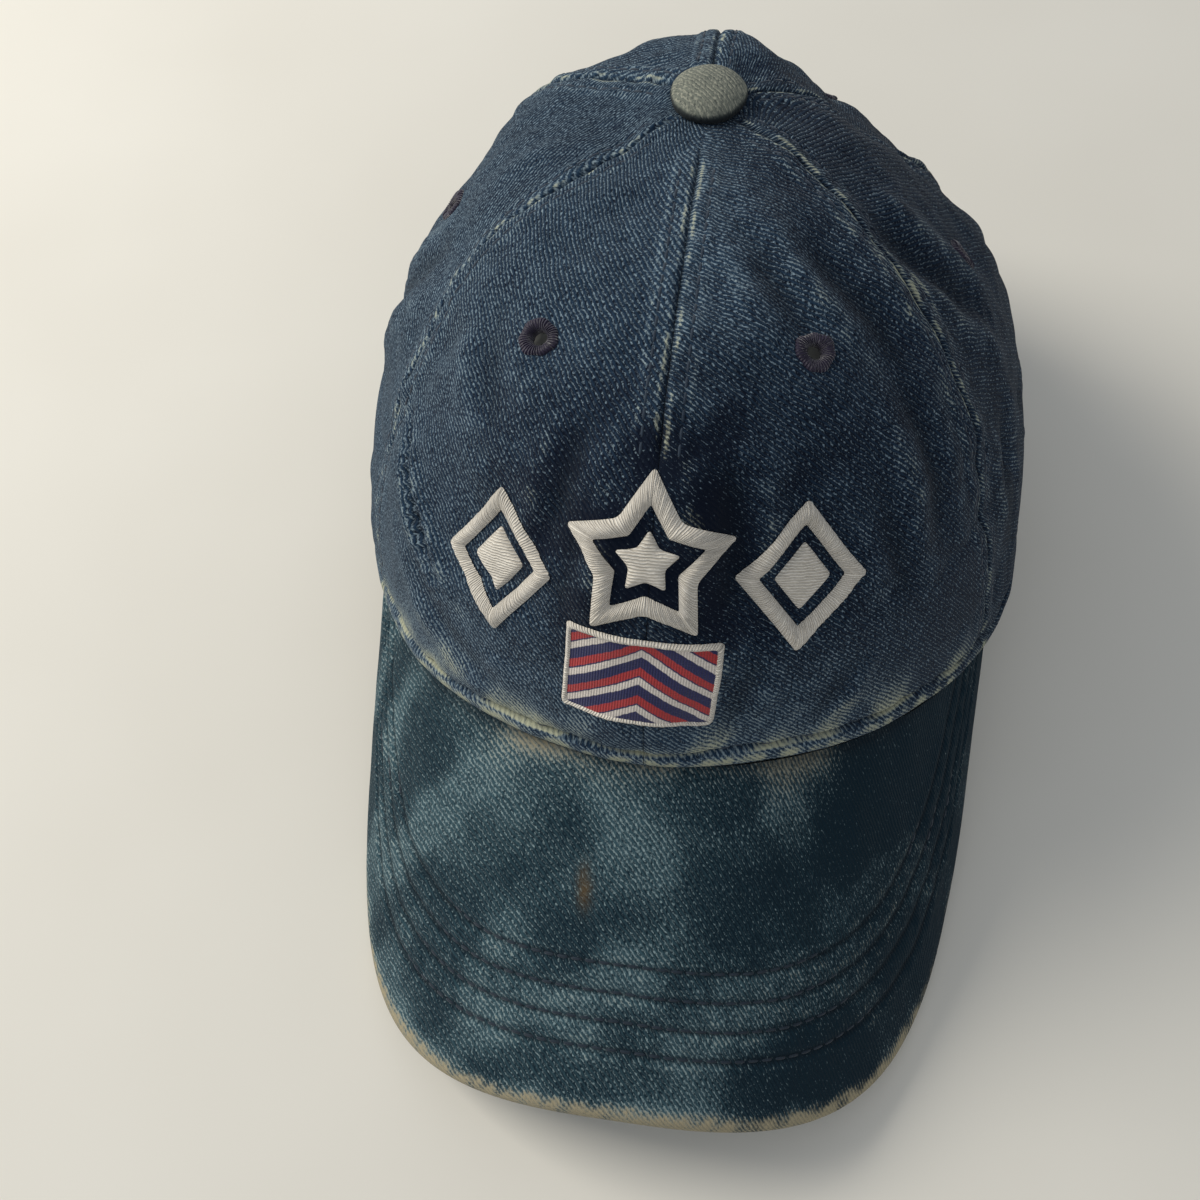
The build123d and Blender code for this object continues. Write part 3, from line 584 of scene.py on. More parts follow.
def denim(name, dark, middle, pale, worn, flecks=0.5, marked=True):
    """Twill in diagonal wales: dark warp in streaks, flecks where pale weft shows, and, where marked, wear,
    deeper dye and painted shade.
    """
    f = Finish(name, Roughness=0.9, Sheen_Weight=0.04, Sheen_Roughness=0.5, Specular_IOR_Level=0.12)
    u, v = f.cloth()
    where = f.place()
    drift = f.noise(f.vector(u, v), 0.22, 2.0)
    across = u * 0.67 + v * 0.74 + drift * 1.2
    wale = (across * (2 * PI / 0.92)).sine() * 0.5 + 0.5
    yarn = f.noise(f.vector(u * 2.4, v * 0.28), 1.0, 3.0, 0.7)
    speck = f.noise(f.vector(across * 2.5, (v * 0.67 - u * 0.74) * 1.45), 1.0, 2.0, 0.75)
    cloud = f.noise(where, 0.045, 3.0, 0.6)
    patchy = f.noise(where, 0.16, 3.0, 0.6)
    fade = f.mark("fade") if marked else cloud * 0.25
    # The second mark darkens the cloth: partly deeper dye, partly painted shade on the side away from the
    # light and at the button's foot; unmarked cloth takes a random cloud instead.
    dye_and_shade = f.mark("dye_and_shade") if marked else cloud * 0.4
    tone = (wale * 0.5 + yarn * 0.8 + patchy * 0.35 + cloud * 0.2 - 0.64 - dye_and_shade * 0.8 + fade * 0.4).held()
    base = f.mix(tone, dark, middle)
    weft = speck * 0.8 + (1 - wale) * 0.16 + yarn * 0.22 + fade * 0.16 + patchy * 0.05 - dye_and_shade * 0.18
    base = f.mix(weft.ramp(0.6, 0.82) * flecks, base, pale)
    rubbed = (fade * 1.1 + (speck - 0.5) * 1.0 + (yarn - 0.5) * 0.8 - wale * 0.3).ramp(0.2, 1.0)
    base = f.mix(rubbed, base, worn)
    if marked:
        # Painted shade: near-black navy mixed in where the mark lies, as painted shadow in grooves, crease
        # valleys, seam valleys and stitch rows.
        base = f.mix(f.mark("painted_shade").held(), base, colour(10, 18, 26))
        base = f.mix(f.mark("stain").held(), base, colour(92, 70, 34))
    f.feed("Base Color", base)
    f.feed("Roughness", 0.8 + yarn * 0.15)
    f.bump(wale * 0.6 + yarn * 0.5 + speck * 0.35, 0.32, 0.9)
    return f.material


def reverse_cloth(name, ground, thread):
    """The inside face of the denim: pale weft with fine blue specks."""
    f = Finish(name, Roughness=0.92, Sheen_Weight=0.1, Specular_IOR_Level=0.15)
    where = f.place()
    speck = f.noise(where, 1.6, 2.0, 0.7)
    cloud = f.noise(where, 0.08, 2.0)
    f.feed("Base Color", f.mix((speck * 1.5 + cloud * 0.6 - 0.6).held(), ground, thread))
    f.bump(speck, 0.25, 0.7)
    return f.material


def twill(name, dark, light, pitch=0.9):
    """Plain dyed twill tape: fine diagonal ribs and a little unevenness."""
    f = Finish(name, Roughness=0.85, Sheen_Weight=0.2, Sheen_Roughness=0.5, Specular_IOR_Level=0.2)
    u, v = f.cloth()
    rib = ((u + v) * (2 * PI / pitch)).sine() * 0.5 + 0.5
    yarn = f.noise(f.vector(u, v * 3.0), 1.1, 2.0, 0.7)
    cloud = f.noise(f.place(), 0.06, 2.0)
    f.feed("Base Color", f.mix((rib * 0.45 + yarn * 0.5 + cloud * 0.4 - 0.35).held(), dark, light))
    f.bump(rib * 0.7 + yarn * 0.4, 0.22, 0.7)
    return f.material


def satin(name, dark, light, pitch=0.6):
    """Satin stitch: threads side by side along u, each a small ridge, with shine and a few dull ones, and
    painted shade: each thread lighter on its crest and darker between threads.
    """
    f = Finish(name, Roughness=0.5, Sheen_Weight=0.35, Sheen_Roughness=0.35, Specular_IOR_Level=0.35)
    u, v = f.cloth()
    drift = f.noise(f.vector(u, v), 0.5, 2.0)
    ridge = ((u + drift * 0.7) * (2 * PI / pitch)).sine() * 0.5 + 0.5
    dull = f.noise(f.vector(u * 1.7, v * 0.35), 1.0, 2.0, 0.7)
    grime = f.noise(f.place(), 0.22, 3.0, 0.6)
    # Each thread is painted lighter on its crest and darker between threads: painted shade; the dull threads
    # and the grime cloud vary the thread's own tone.
    tone = (ridge * 0.5 + dull * 0.7 + (1 - grime) * 0.35 - 0.22).held()
    f.feed("Base Color", f.mix(tone, dark, light))
    f.feed("Roughness", 0.42 + dull * 0.25)
    f.bump(ridge * 0.9 + dull * 0.4, 0.26, 1.0)
    return f.material


def plain_thread(name, dark, light):
    """Sewing thread: uneven strands as a fine noise on object coordinates."""
    f = Finish(name, Roughness=0.7, Sheen_Weight=0.25, Specular_IOR_Level=0.25)
    twist = f.noise(f.place(), 2.4, 2.0, 0.6)
    f.feed("Base Color", f.mix(twist, dark, light))
    f.bump(twist, 0.1, 0.6)
    return f.material


def metal(name, bright, tarnish, rough=0.34):
    """Pressed metal with brushed scratches and tarnish in soft clouds."""
    f = Finish(name, Metallic=1.0)
    where = f.place()
    cloud = f.noise(where, 0.35, 4.0, 0.65)
    stretched = f.add("ShaderNodeVectorMath", {"operation": "MULTIPLY"}, {0: where, 1: (0.2, 6.0, 6.0)})
    brushed = f.noise(stretched, 1.0, 2.0)
    f.feed("Base Color", f.mix(cloud.ramp(0.3, 0.8), bright, tarnish))
    f.feed("Roughness", rough + cloud * 0.22 + brushed * 0.1)
    f.bump(brushed * 0.5 + cloud * 0.5, 0.05, 0.5)
    return f.material


def moulded(name, dark, light):
    """Plain moulded board with a fine grain."""
    f = Finish(name, Roughness=0.55)
    grain = f.noise(f.place(), 0.9, 3.0)
    f.feed("Base Color", f.mix(grain, dark, light))
    f.bump(grain, 0.08, 0.5)
    return f.material


def patch_cloth(name):
    """A woven patch: a navy ground with red and white chevrons, crossed by fine threads."""
    f = Finish(name, Roughness=0.6, Sheen_Weight=0.3, Specular_IOR_Level=0.3)
    u, v = f.cloth()
    wobble = f.noise(f.vector(u, v), 1.1, 2.0) * 0.5
    level = (v + u.size() * 0.62 + wobble).remainder(6.4)
    white = level.ramp(0.1, 0.35) * (1 - level.ramp(1.75, 2.0))
    red = level.ramp(2.1, 2.35) * (1 - level.ramp(4.0, 4.25))
    thread = (u * (2 * PI / 0.55)).sine() * 0.5 + 0.5
    dull = f.noise(f.vector(u * 0.5, v * 2.6), 1.2, 2.0, 0.7)
    base = f.mix(white, colour(24, 28, 84), colour(226, 216, 206))
    base = f.mix(red, base, colour(178, 44, 46))
    base = f.mix((thread * 0.35 + dull * 0.5 - 0.25).held(), base, colour(20, 16, 24))
    f.feed("Base Color", base)
    f.bump(thread * 0.5 + dull * 0.6, 0.2, 0.9)
    return f.material


CROWN_DENIM = denim(
    "crown_denim", colour(5, 16, 33), colour(40, 66, 90),
    colour(142, 164, 178), colour(170, 172, 148), 0.72,
)
VISOR_DENIM = denim(
    "visor_denim", colour(14, 36, 47), colour(66, 96, 106),
    colour(152, 174, 178), colour(160, 150, 124), 0.72,
)
STRAP_DENIM = denim(
    "strap_denim", colour(24, 42, 62), colour(62, 88, 110),
    colour(150, 168, 178), colour(170, 168, 148), 0.55, False,
)
DENIM_REVERSE = reverse_cloth("denim_reverse", colour(150, 158, 160), colour(58, 76, 96))
SEAM_TAPE = twill("seam_tape", colour(14, 18, 30), colour(38, 46, 66))
SWEATBAND = twill("sweatband_twill", colour(22, 30, 46), colour(58, 70, 92), 1.1)
FELT = reverse_cloth("backing_felt", colour(205, 204, 198), colour(168, 168, 164))
NAVY_THREAD = plain_thread("navy_thread", colour(12, 22, 36), colour(40, 58, 76))
VISOR_THREAD = plain_thread("visor_thread", colour(12, 22, 34), colour(34, 50, 64))
# The satin threads' dark colours also serve as the painted shade between threads.
EYELET_THREAD = satin("eyelet_thread", colour(14, 12, 28), colour(44, 36, 62), 0.5)
WHITE_THREAD = satin("white_thread", colour(168, 158, 142), colour(250, 244, 232))
BUTTON_CLOTH = denim(
    "button_cloth", colour(70, 76, 74), colour(132, 136, 124),
    colour(180, 180, 164), colour(158, 157, 138), 0.6,
)
BOARD = moulded("board_plastic", colour(200, 200, 196), colour(224, 224, 220))
STEEL = metal("button_metal", colour(176, 176, 172), colour(120, 118, 112))
BRASS = metal("buckle_brass", colour(186, 162, 112), colour(150, 126, 82))
PATCH_CLOTH = patch_cloth("patch_cloth")


def edge_weighted(count):
    """Steps from 0 to 1 that are finer at both ends: half even, half a cosine."""
    u = np.linspace(0, 1, count)
    return 0.5 * u + 0.25 * (1 - np.cos(PI * u))


def foot_weighted(count):
    """Steps from 0 to 1 that are finer at the start: half even, half one minus a cosine."""
    v = np.linspace(0, 1, count)
    return 0.5 * v + 0.5 * (1 - np.cos(PI * v / 2))


def arch_foot(theta):
    """The t at which each theta of the rear panels starts, 0 outside the arch."""
    turn = np.linspace(0.055, PI - 0.055, 181)
    arch_theta, arch_t = on_arch(turn, 1.5)
    order = np.argsort(arch_theta)
    return np.interp(theta, arch_theta[order], arch_t[order], left=0, right=0)


def crown_marks(theta, t, points, along):
    """Where the cloth is faded or deeply dyed and where shade is painted, each 0 to 1: bells round the seams,
    hem and front.
    """
    gap, nearest = seam_distance(theta, along)
    up = climb(theta, t)
    strength = seam_strength(nearest, t)
    front = smooth((np.cos(theta) - 0.3) / 0.4)
    blotch = 0.5 + 0.5 * np.clip(ripples(points, 16, 21), -1, 1)
    fine = 0.5 + 0.5 * np.clip(ripples(points, 5, 23), -1, 1)
    crest = 0.5 * bell(gap - 1.05, 0.5) + 0.2 * bell(gap - SEAM_ALLOWANCE, 0.6)
    crest += 0.12 * smooth((6.5 - gap) / 2)
    folds = creases(points)
    fade = strength * crest * (0.3 + 0.85 * fine)
    fade += front * np.exp(-np.maximum(up - HEM, 0) / 9) * (0.2 + 0.75 * blotch) * (up > HEM - 0.4)
    fade += (up <= HEM) * (0.25 + 0.35 * front) * (0.5 + fine) * np.sin(PI * np.clip(up / HEM, 0, 1))
    fade += 0.4 * np.clip(folds, 0, 1) * fine
    centre = bell(np.mod(theta + PI, 2 * PI) - PI, 0.42) * bell(t - 0.43, 0.2)
    # Deeper dye in a blotch at the front's middle, and painted shade that darkens the right side (+X), away
    # from the light.
    dye_and_shade = 0.85 * centre * (0.55 + 0.6 * blotch) + 0.25 * smooth((np.sin(theta) - 0.2) / 0.6)
    # Painted shadow in the groove over the hem, in crease valleys and down each seam's valley.
    painted_shade = 0.55 * bell(up - HEM - 0.5, 0.5) * (0.35 + 0.65 * front) + 0.35 * np.clip(-folds - 0.2, 0, 1)
    painted_shade += 0.4 * bell(gap, 0.4) * strength
    return {
        "fade": np.clip(fade, 0, 1),
        "dye_and_shade": np.clip(dye_and_shade, 0, 1),
        "painted_shade": np.clip(painted_shade, 0, 0.85),
        "stain": 0 * fade,
    }


def both(values):
    """The same numbers for the outer and the inner grid of a closed sheet."""
    return np.concatenate([values.reshape(-1, *values.shape[2:])] * 2)


def hole_cutter(name):
    """A 32-sided rod through the cloth at an eyelet."""
    theta, t = math.radians(EYELETS[name][0]), EYELETS[name][1]
    along, _up, normal = crown_frame(theta, t)
    side = unit(along)
    turn = np.linspace(0, 2 * PI, 33)[:-1]
    ring = EYELET_HOLE * (np.cos(turn)[:, None] * side + np.sin(turn)[:, None] * np.cross(normal, side))
    origin = crown(theta, t)
    points = np.concatenate([origin + ring - normal * 6, origin + ring + normal * 6])
    mesh = bpy.data.meshes.new("cutter")
    caps = [list(range(31, -1, -1)), list(range(32, 64))]
    mesh.from_pydata(stand(points).tolist(), [], quads(2, 32, close_columns=True).tolist() + caps)
    made = bpy.data.objects.new("cutter", mesh)
    bpy.context.scene.collection.objects.link(made)
    return made


def make_panel(name):
    """One panel: a grid between two seams, in relief outside and on the slack alone inside.

    The eyelet's hole is cut through it.
    """
    low, high = math.radians(SEAMS[PANELS[name][0]]), math.radians(PANELS[name][1])
    theta = (low + 0.0008 + (high - low - 0.0016) * edge_weighted(84))[None, :]
    bottom = arch_foot(theta) if name.startswith("rear") else np.zeros_like(theta)
    t = bottom + (TOP_T - bottom) * foot_weighted(176)[:, None]
    theta = np.broadcast_to(theta, t.shape)
    points = crown(theta, t)
    along, _up, normal = crown_frame(theta, t)
    outer = points + normal * relief(theta, t)[..., None]
    inner = points + normal * (slack(theta, t, points) - CLOTH)[..., None]
    across = (theta - (low + high) / 2) * np.linalg.norm(along, axis=-1)
    uv = both(np.stack([across, climb(theta, t)], -1))
    marks = {key: both(value) for key, value in crown_marks(theta, t, points, along).items()}
    points, faces = slab(outer, inner)
    count = (t.shape[0] - 1) * (t.shape[1] - 1)
    look_of = np.zeros(len(faces))
    look_of[count : 2 * count] = 1
    label = name + "_panel"
    looks = [CROWN_DENIM, DENIM_REVERSE]
    made = piece(label + "_cloth", points, faces, looks, "cap", [label], uv, marks, look_of)
    cutter = hole_cutter(name)
    cut = made.modifiers.new("eyelet hole", "BOOLEAN")
    cut.operation, cut.object, cut.solver = "DIFFERENCE", cutter, "EXACT"
    holed = bpy.data.meshes.new_from_object(made.evaluated_get(bpy.context.evaluated_depsgraph_get()))
    made.modifiers.clear()
    made.data = holed
    bpy.data.objects.remove(cutter)


def lay(place, x, y, out):
    """Points x and y of a plane that touches the crown at a place, dropped on to the cloth, raised by out."""
    theta0, t0, turn = math.radians(place[0]), place[1], math.radians(place[2])
    along, _up, normal = crown_frame(theta0, t0)
    side = unit(along)
    rise = np.cross(normal, side)
    ex = side * math.cos(turn) + rise * math.sin(turn)
    ey = rise * math.cos(turn) - side * math.sin(turn)
    x, y = np.broadcast_arrays(np.asarray(x, float), np.asarray(y, float))
    theta, t = settle(np.full(x.shape, theta0), np.full(x.shape, t0), crown(theta0, t0), ex, ey, x, y)
    return backing(theta, t, out)


def outline_points(corners, inset, count, soften):
    """A polygon moved in by an inset, walked in even steps, its corners softened by a running mean."""
    corners = np.asarray(corners, float)
    ahead = unit(np.roll(corners, -1, 0) - corners)
    inward = np.stack([-ahead[:, 1], ahead[:, 0]], -1)
    before, after = np.roll(inward, 1, 0), inward
    moved = corners + inset * (before + after) / (1 + (before * after).sum(-1, keepdims=True))
    steps = np.linspace(0, 1, count // len(corners), endpoint=False)
    edges = np.roll(moved, -1, 0) - moved
    path = (moved[:, None, :] + edges[:, None, :] * steps[None, :, None]).reshape(-1, 2)
    return sum(np.roll(path, shift, 0) for shift in range(-soften, soften + 1)) / (2 * soften + 1)


def walked(path):
    """Length walked along a path at each of its points."""
    return np.concatenate([[0], np.cumsum(np.linalg.norm(np.diff(path, axis=0), axis=-1))])


def satin_band(place, corners, inset, width, height, count):
    """A satin band between an outline and the same one moved in, with a round top and a flat underside."""
    outer = outline_points(corners, inset, count, 3)
    inner = outline_points(corners, inset + width, count, 2)
    top = np.linspace(0, 1, 11)
    share = np.concatenate([top, [0.67, 0.33]])
    level = np.concatenate([np.sin(PI * np.clip(top, 0.03, 0.97)) ** 0.55, [0.0, 0.0]]) * height - 0.15
    xy = outer[:, None, :] + (inner - outer)[:, None, :] * share[None, :, None]
    length = walked(outer)[:, None]
    jitter = 0.05 * height * np.sin(length * 2 * PI / 1.7 + 2 * np.sin(length * 0.9))
    points = lay(place, xy[..., 0], xy[..., 1], level[None, :] + jitter * (level > 0))
    rows, columns = share.size, outer.shape[0]
    uv = np.stack(np.broadcast_arrays(length, share[None, :] * width), -1)
    faces = quads(columns, rows, close_rows=True, close_columns=True, flip=True)
    return points.reshape(-1, 3), faces, uv.reshape(-1, 2)


def satin_pad(place, corners, inset, height, count):
    """A filled middle: rings from a centre point to the outline, with a flat underside.

    Its dome is the root of one minus the fourth power of the way out.
    """
    edge = outline_points(corners, inset, count, 2)
    centre = edge.mean(0)
    way_out = np.linspace(0.12, 1, 9)
    share = np.concatenate([way_out, [0.98, 0.6]])
    level = np.concatenate([(1 - way_out**4) ** 0.5 * height, [-0.1, -0.1]]) - 0.05
    xy = centre + (edge - centre)[None, :, :] * share[:, None, None]
    columns = edge.shape[0]
    points = lay(place, xy[..., 0], xy[..., 1], np.broadcast_to(level[:, None], (share.size, columns)))
    poles = lay(place, [centre[0]] * 2, [centre[1]] * 2, np.array([height - 0.05, -0.15]))
    uv = np.concatenate([xy.reshape(-1, 2)[:, ::-1], [centre[::-1]] * 2])
    sides = quads(share.size, columns, close_columns=True, flip=True)
    faces = [sides, pole_faces(share.size, columns, flip=True)]
    return np.concatenate([points.reshape(-1, 3), poles]), faces, uv


def shape_corners(name):
    """The corners of the lozenge, or of the broad five-pointed star, anticlockwise."""
    if name != "middle":
        across, tall = LOZENGE
        return [(0, tall), (-across, 0), (0, -tall), (across, 0)]
    turn = np.radians(90 + 36 * np.arange(10))
    radius = np.where(np.arange(10) % 2, STAR_RADIUS * STAR_WAIST, STAR_RADIUS)
    return np.stack([radius * np.cos(turn), radius * np.sin(turn)], -1)


def make_shape(name):
    """A raised shape: an outer satin band, a gap of bare cloth and a satin pad in the middle."""
    place, corners, pad_inset = SHAPES[name], shape_corners(name), STROKE + STROKE_GAP
    points, faces, uv = satin_band(place, corners, 0.0, STROKE, SHAPE_HEIGHT, 300)
    pad_points, pad_faces, pad_uv = satin_pad(place, corners, pad_inset, SHAPE_HEIGHT * 0.85, 120)
    groups = [np.concatenate([faces, pad_faces[0] + len(points)]), pad_faces[1] + len(points)]
    label = "raised_shape_" + name
    points, uv = np.concatenate([points, pad_points]), np.concatenate([uv, pad_uv])
    piece(label + "_satin", points, groups, WHITE_THREAD, "cap", [label], uv)


def make_patch():
    """The patch's woven middle, a thin closed sheet, and its overlocked border, a satin band."""
    half_x, half_y = PATCH_SIZE[0] / 2 - 0.8, PATCH_SIZE[1] / 2 - 0.8
    x, y = np.meshgrid(np.linspace(-half_x, half_x, 60), np.linspace(-half_y, half_y, 40))
    outer = lay(PATCH, x, y, np.full(x.shape, 0.62))
    inner = lay(PATCH, x, y, np.full(x.shape, 0.02))
    points, faces = slab(outer, inner)
    uv = both(np.stack([x, y], -1))
    piece("patch_weave", points, faces, PATCH_CLOTH, "cap", ["patch"], uv)
    half_x, half_y = PATCH_SIZE[0] / 2, PATCH_SIZE[1] / 2
    corners = [(half_x, half_y), (-half_x, half_y), (-half_x, -half_y), (half_x, -half_y)]
    points, faces, uv = satin_band(PATCH, corners, 0.0, 1.5, 1.15, 280)
    piece("patch_border_satin", points, faces, WHITE_THREAD, "cap", ["patch_border"], uv)


def make_eyelet(name):
    """An embroidered ring: a closed profile of radius and height turned round, with radial ridges."""
    profile = np.array([
        (3.95, -0.1), (3.85, 0.35), (3.4, 0.66), (2.8, 0.76), (2.2, 0.66), (1.75, 0.35), (1.5, -0.1),
        (1.48, -0.9), (1.6, -1.35), (2.1, -1.6), (2.8, -1.55), (3.1, -1.2), (2.15, -1.12), (2.15, 0.0),
    ])
    turn = np.linspace(0, 2 * PI, 145)[:-1][:, None]
    radius, height = profile[:, 0][None, :], profile[:, 1][None, :]
    uneven = 1 + 0.05 * np.sin(3 * turn + 1) + 0.03 * np.sin(7 * turn)
    ridge = 0.09 * np.sin(36 * turn) * (radius > 2.16)
    radius = radius * np.where(radius > 2.16, uneven, 1.0)
    theta, t = EYELETS[name]
    x, y = radius * np.cos(turn), radius * np.sin(turn)
    points = lay((theta, t, 0), x, y, height + ridge * (height > 0.2))
    uv = np.stack(np.broadcast_arrays(turn * 3.0, radius + 0 * turn), -1).reshape(-1, 2)
    label = name + "_eyelet"
    faces = quads(144, len(profile), close_rows=True, close_columns=True, flip=True)
    points = points.reshape(-1, 3)
    piece(label + "_ring", points, faces, EYELET_THREAD, "cap", [label], uv)


def stitch_shape():
    """One stitch, a capsule of five rings and two poles along x, from -1 to 1."""
    along = np.array([-0.86, -0.5, 0.0, 0.5, 0.86])
    around = np.linspace(0, 2 * PI, 7)[:-1]
    radius = np.sqrt(1 - along**4)
    across, high = radius[:, None] * np.cos(around), radius[:, None] * np.sin(around)
    rings = np.stack(np.broadcast_arrays(along[:, None], across, high), -1)
    points = np.concatenate([rings.reshape(-1, 3), [(-1, 0, 0), (1, 0, 0)]])
    return points, quads(5, 6, close_columns=True, flip=True), pole_faces(5, 6, flip=True)


def make_stitches(name, runs, look, body, replaced, width=0.6, height=0.4):
    """Stitches end to end along each run of points, every one a capsule turned to the run and its normal."""
    pitch, length = 3.1, 2.5
    shape, side_faces, end_faces = stitch_shape()
    all_points, all_sides, all_ends, start = [], [], [], 0
    for line, normals in runs:
        walk = walked(line)
        count = max(int(walk[-1] / pitch), 1)
        at = (np.arange(count) + 0.5) * walk[-1] / count
        centre = np.stack([np.interp(at, walk, line[:, k]) for k in range(3)], -1)
        front = np.stack([np.interp(at + 0.6, walk, line[:, k]) for k in range(3)], -1)
        back = np.stack([np.interp(at - 0.6, walk, line[:, k]) for k in range(3)], -1)
        normal = unit(np.stack([np.interp(at, walk, normals[:, k]) for k in range(3)], -1))
        ahead = unit(front - back)
        side = unit(np.cross(normal, ahead))
        x, y, z = shape[:, 0], shape[:, 1], shape[:, 2]
        points = (
            centre[:, None, :]
            + ahead[:, None, :] * (x * length / 2)[None, :, None]
            + side[:, None, :] * (y * width / 2)[None, :, None]
            + normal[:, None, :] * (z * height / 2 - 0.12 * x**2)[None, :, None]
        )
        offsets = start + np.arange(count)[:, None, None] * len(shape)
        all_points.append(points.reshape(-1, 3))
        all_sides.append((side_faces[None] + offsets).reshape(-1, 4))
        all_ends.append((end_faces[None] + offsets).reshape(-1, 3))
        start += count * len(shape)
    faces = [np.concatenate(all_sides), np.concatenate(all_ends)]
    piece(name, np.concatenate(all_points), faces, look, body, replaced, sharp=80)


def on_cloth(theta, t, out=0.08):
    """A run of points on the outer face in relief, with the crown's normals."""
    theta, t = np.broadcast_arrays(np.asarray(theta, float), np.asarray(t, float))
    return cloth(theta, t, relief(theta, t) + out), crown_frame(theta, t)[2]


def make_topstitch(seam):
    """Two rows of stitches, one each side of a seam."""
    bottom = {"front": 0.55, "rear": 0.37}.get(seam, 0.06)
    t = np.linspace(bottom, 0.94, 160)
    middle = math.radians(SEAMS[seam])
    reach = np.linalg.norm(crown_frame(np.full(t.shape, middle), t)[0], axis=-1)
    runs = [on_cloth(middle + side * TOPSTITCH / reach, t) for side in (-1, 1)]
    label = seam + "_topstitch"
    make_stitches(label + "_rows", runs, NAVY_THREAD, "cap", [label])


def t_at(theta, up):
    """The t at which the cloth has climbed a length, by a first guess and four corrections."""
    t = up / climb(theta, np.ones_like(theta))
    for _turn in range(4):
        slope = (climb(theta, t + 0.01) - climb(theta, t)) / 0.01
        t = t - (climb(theta, t) - up) / slope
    return t


def make_seam_tape(seam):
    """The tape over a seam inside: a narrow closed strip that runs up the crown."""
    bottom = 0.37 if seam == "rear" else 0.215
    t = np.linspace(bottom, 0.93, 90)[:, None]
    middle = math.radians(SEAMS[seam])
    offset = np.linspace(-TAPE_HALF_WIDTH, TAPE_HALF_WIDTH, 15)[None, :]
    reach = np.linalg.norm(crown_frame(np.full(t.shape, middle), t)[0], axis=-1)
    theta, t = np.broadcast_arrays(middle + offset / reach, t)
    rounding = 0.25 * (np.abs(offset) / TAPE_HALF_WIDTH) ** 6
    outer = backing(theta, t, np.broadcast_to(-1.3 - rounding, t.shape))
    inner = backing(theta, t, np.broadcast_to(-1.3 - TAPE_THICKNESS + rounding, t.shape))
    points, faces = slab(outer, inner)
    uv = both(np.stack([np.broadcast_to(offset, t.shape), climb(theta, t)], -1))
    label = seam + "_seam_tape"
    piece(label + "_strip", points, faces, SEAM_TAPE, "cap", [label], uv)


def make_hem_stitching():
    """The row of stitches in the groove over the rolled hem."""
    theta = np.linspace(-math.radians(139), math.radians(139), 700)
    run = on_cloth(theta, t_at(theta, np.full(theta.shape, HEM + 0.5)))
    make_stitches("hem_stitching_row", [run], NAVY_THREAD, "cap", ["hem_stitching"])


def make_arch_binding():
    """The arch's rolled edge, a closed profile of offset and height carried round it, and its stitches."""
    profile = np.array([
        (3.4, 0.1), (3.0, 0.62), (2.1, 0.82), (1.1, 0.78), (0.3, 0.42), (0.0, -0.2), (0.05, -0.9),
        (0.5, -1.55), (1.5, -1.85), (2.6, -1.75), (3.2, -1.35), (3.3, -0.6),
    ])
    turn = np.linspace(0.058, PI - 0.058, 150)[:, None]
    theta, t = on_arch(turn, profile[:, 0][None, :])
    pucker = 1 + 0.06 * np.sin(turn * 60) + 0.05 * np.sin(turn * 37 + 1)
    points = cloth(theta, t, profile[:, 1][None, :] * pucker)
    rows, columns = theta.shape
    walk = walked(points[:, 0])[:, None]
    uv = np.stack(np.broadcast_arrays(walk, np.arange(columns)[None, :] * 0.9), -1).reshape(-1, 2)
    faces = [quads(rows, columns, close_columns=True), pole_faces(rows, columns)]
    grid = np.concatenate([points.reshape(-1, 3), [points[0].mean(0), points[-1].mean(0)]])
    uv = np.concatenate([uv, uv[:1], uv[-1:]])
    piece("arch_binding_roll", grid, faces, STRAP_DENIM, "cap", ["arch_binding"], uv)
    stitch_turn = np.linspace(0.12, PI - 0.12, 300)
    run = on_cloth(*on_arch(stitch_turn, 5.3))
    make_stitches("arch_stitching_row", [run], NAVY_THREAD, "cap", ["arch_stitching"])


def sweat_depth(theta):
    """The sweatband lies close at the front and further in at the back, clear of the strap."""
    return 2.3 + 5.5 * smooth((np.abs(theta) - math.radians(95)) / math.radians(25))


def sweat_wave(points):
    """The band's own waves: two sizes of ripples."""
    return 0.22 * ripples(points, 30, 31) + 0.1 * ripples(points, 9, 33)


def make_sweatband():
    """The band round the head: a closed sheet with both edges rounded, and its row of stitches."""
    theta = np.linspace(-SWEATBAND_END, SWEATBAND_END, 260)[None, :]
    drop = 3.0 / (TOP_HEIGHT * PI / 2)
    bottom = 0.004 - drop * np.maximum(np.cos(theta), 0) ** 2
    share = np.linspace(0, 1, 26)[:, None]
    t = bottom + (SWEATBAND_TOP_T - bottom) * share
    theta = np.broadcast_to(theta, t.shape)
    roll = 0.35 * (2 * share - 1) ** 8
    depth = sweat_depth(theta) - sweat_wave(crown(theta, t))
    outer = cloth(theta, t, -depth - roll)
    inner = cloth(theta, t, -depth - SWEATBAND_THICKNESS + roll)
    uv = both(np.stack([theta * 90, share * 28 + 0 * theta], -1))
    points, faces = slab(outer, inner)
    made = piece("sweatband_cloth", points, faces, SWEATBAND, "cap", ["sweatband"], uv)
    line = np.linspace(-SWEATBAND_END + 0.04, SWEATBAND_END - 0.04, 900)
    level = np.full(line.shape, 0.18)
    out = -sweat_depth(line) + sweat_wave(crown(line, level)) - SWEATBAND_THICKNESS - 0.08
    run = (cloth(line, level, out), -crown_frame(line, level)[2])
    replaced = ["sweatband_stitching"]
    make_stitches("sweatband_stitching_row", [run], NAVY_THREAD, "cap", replaced)


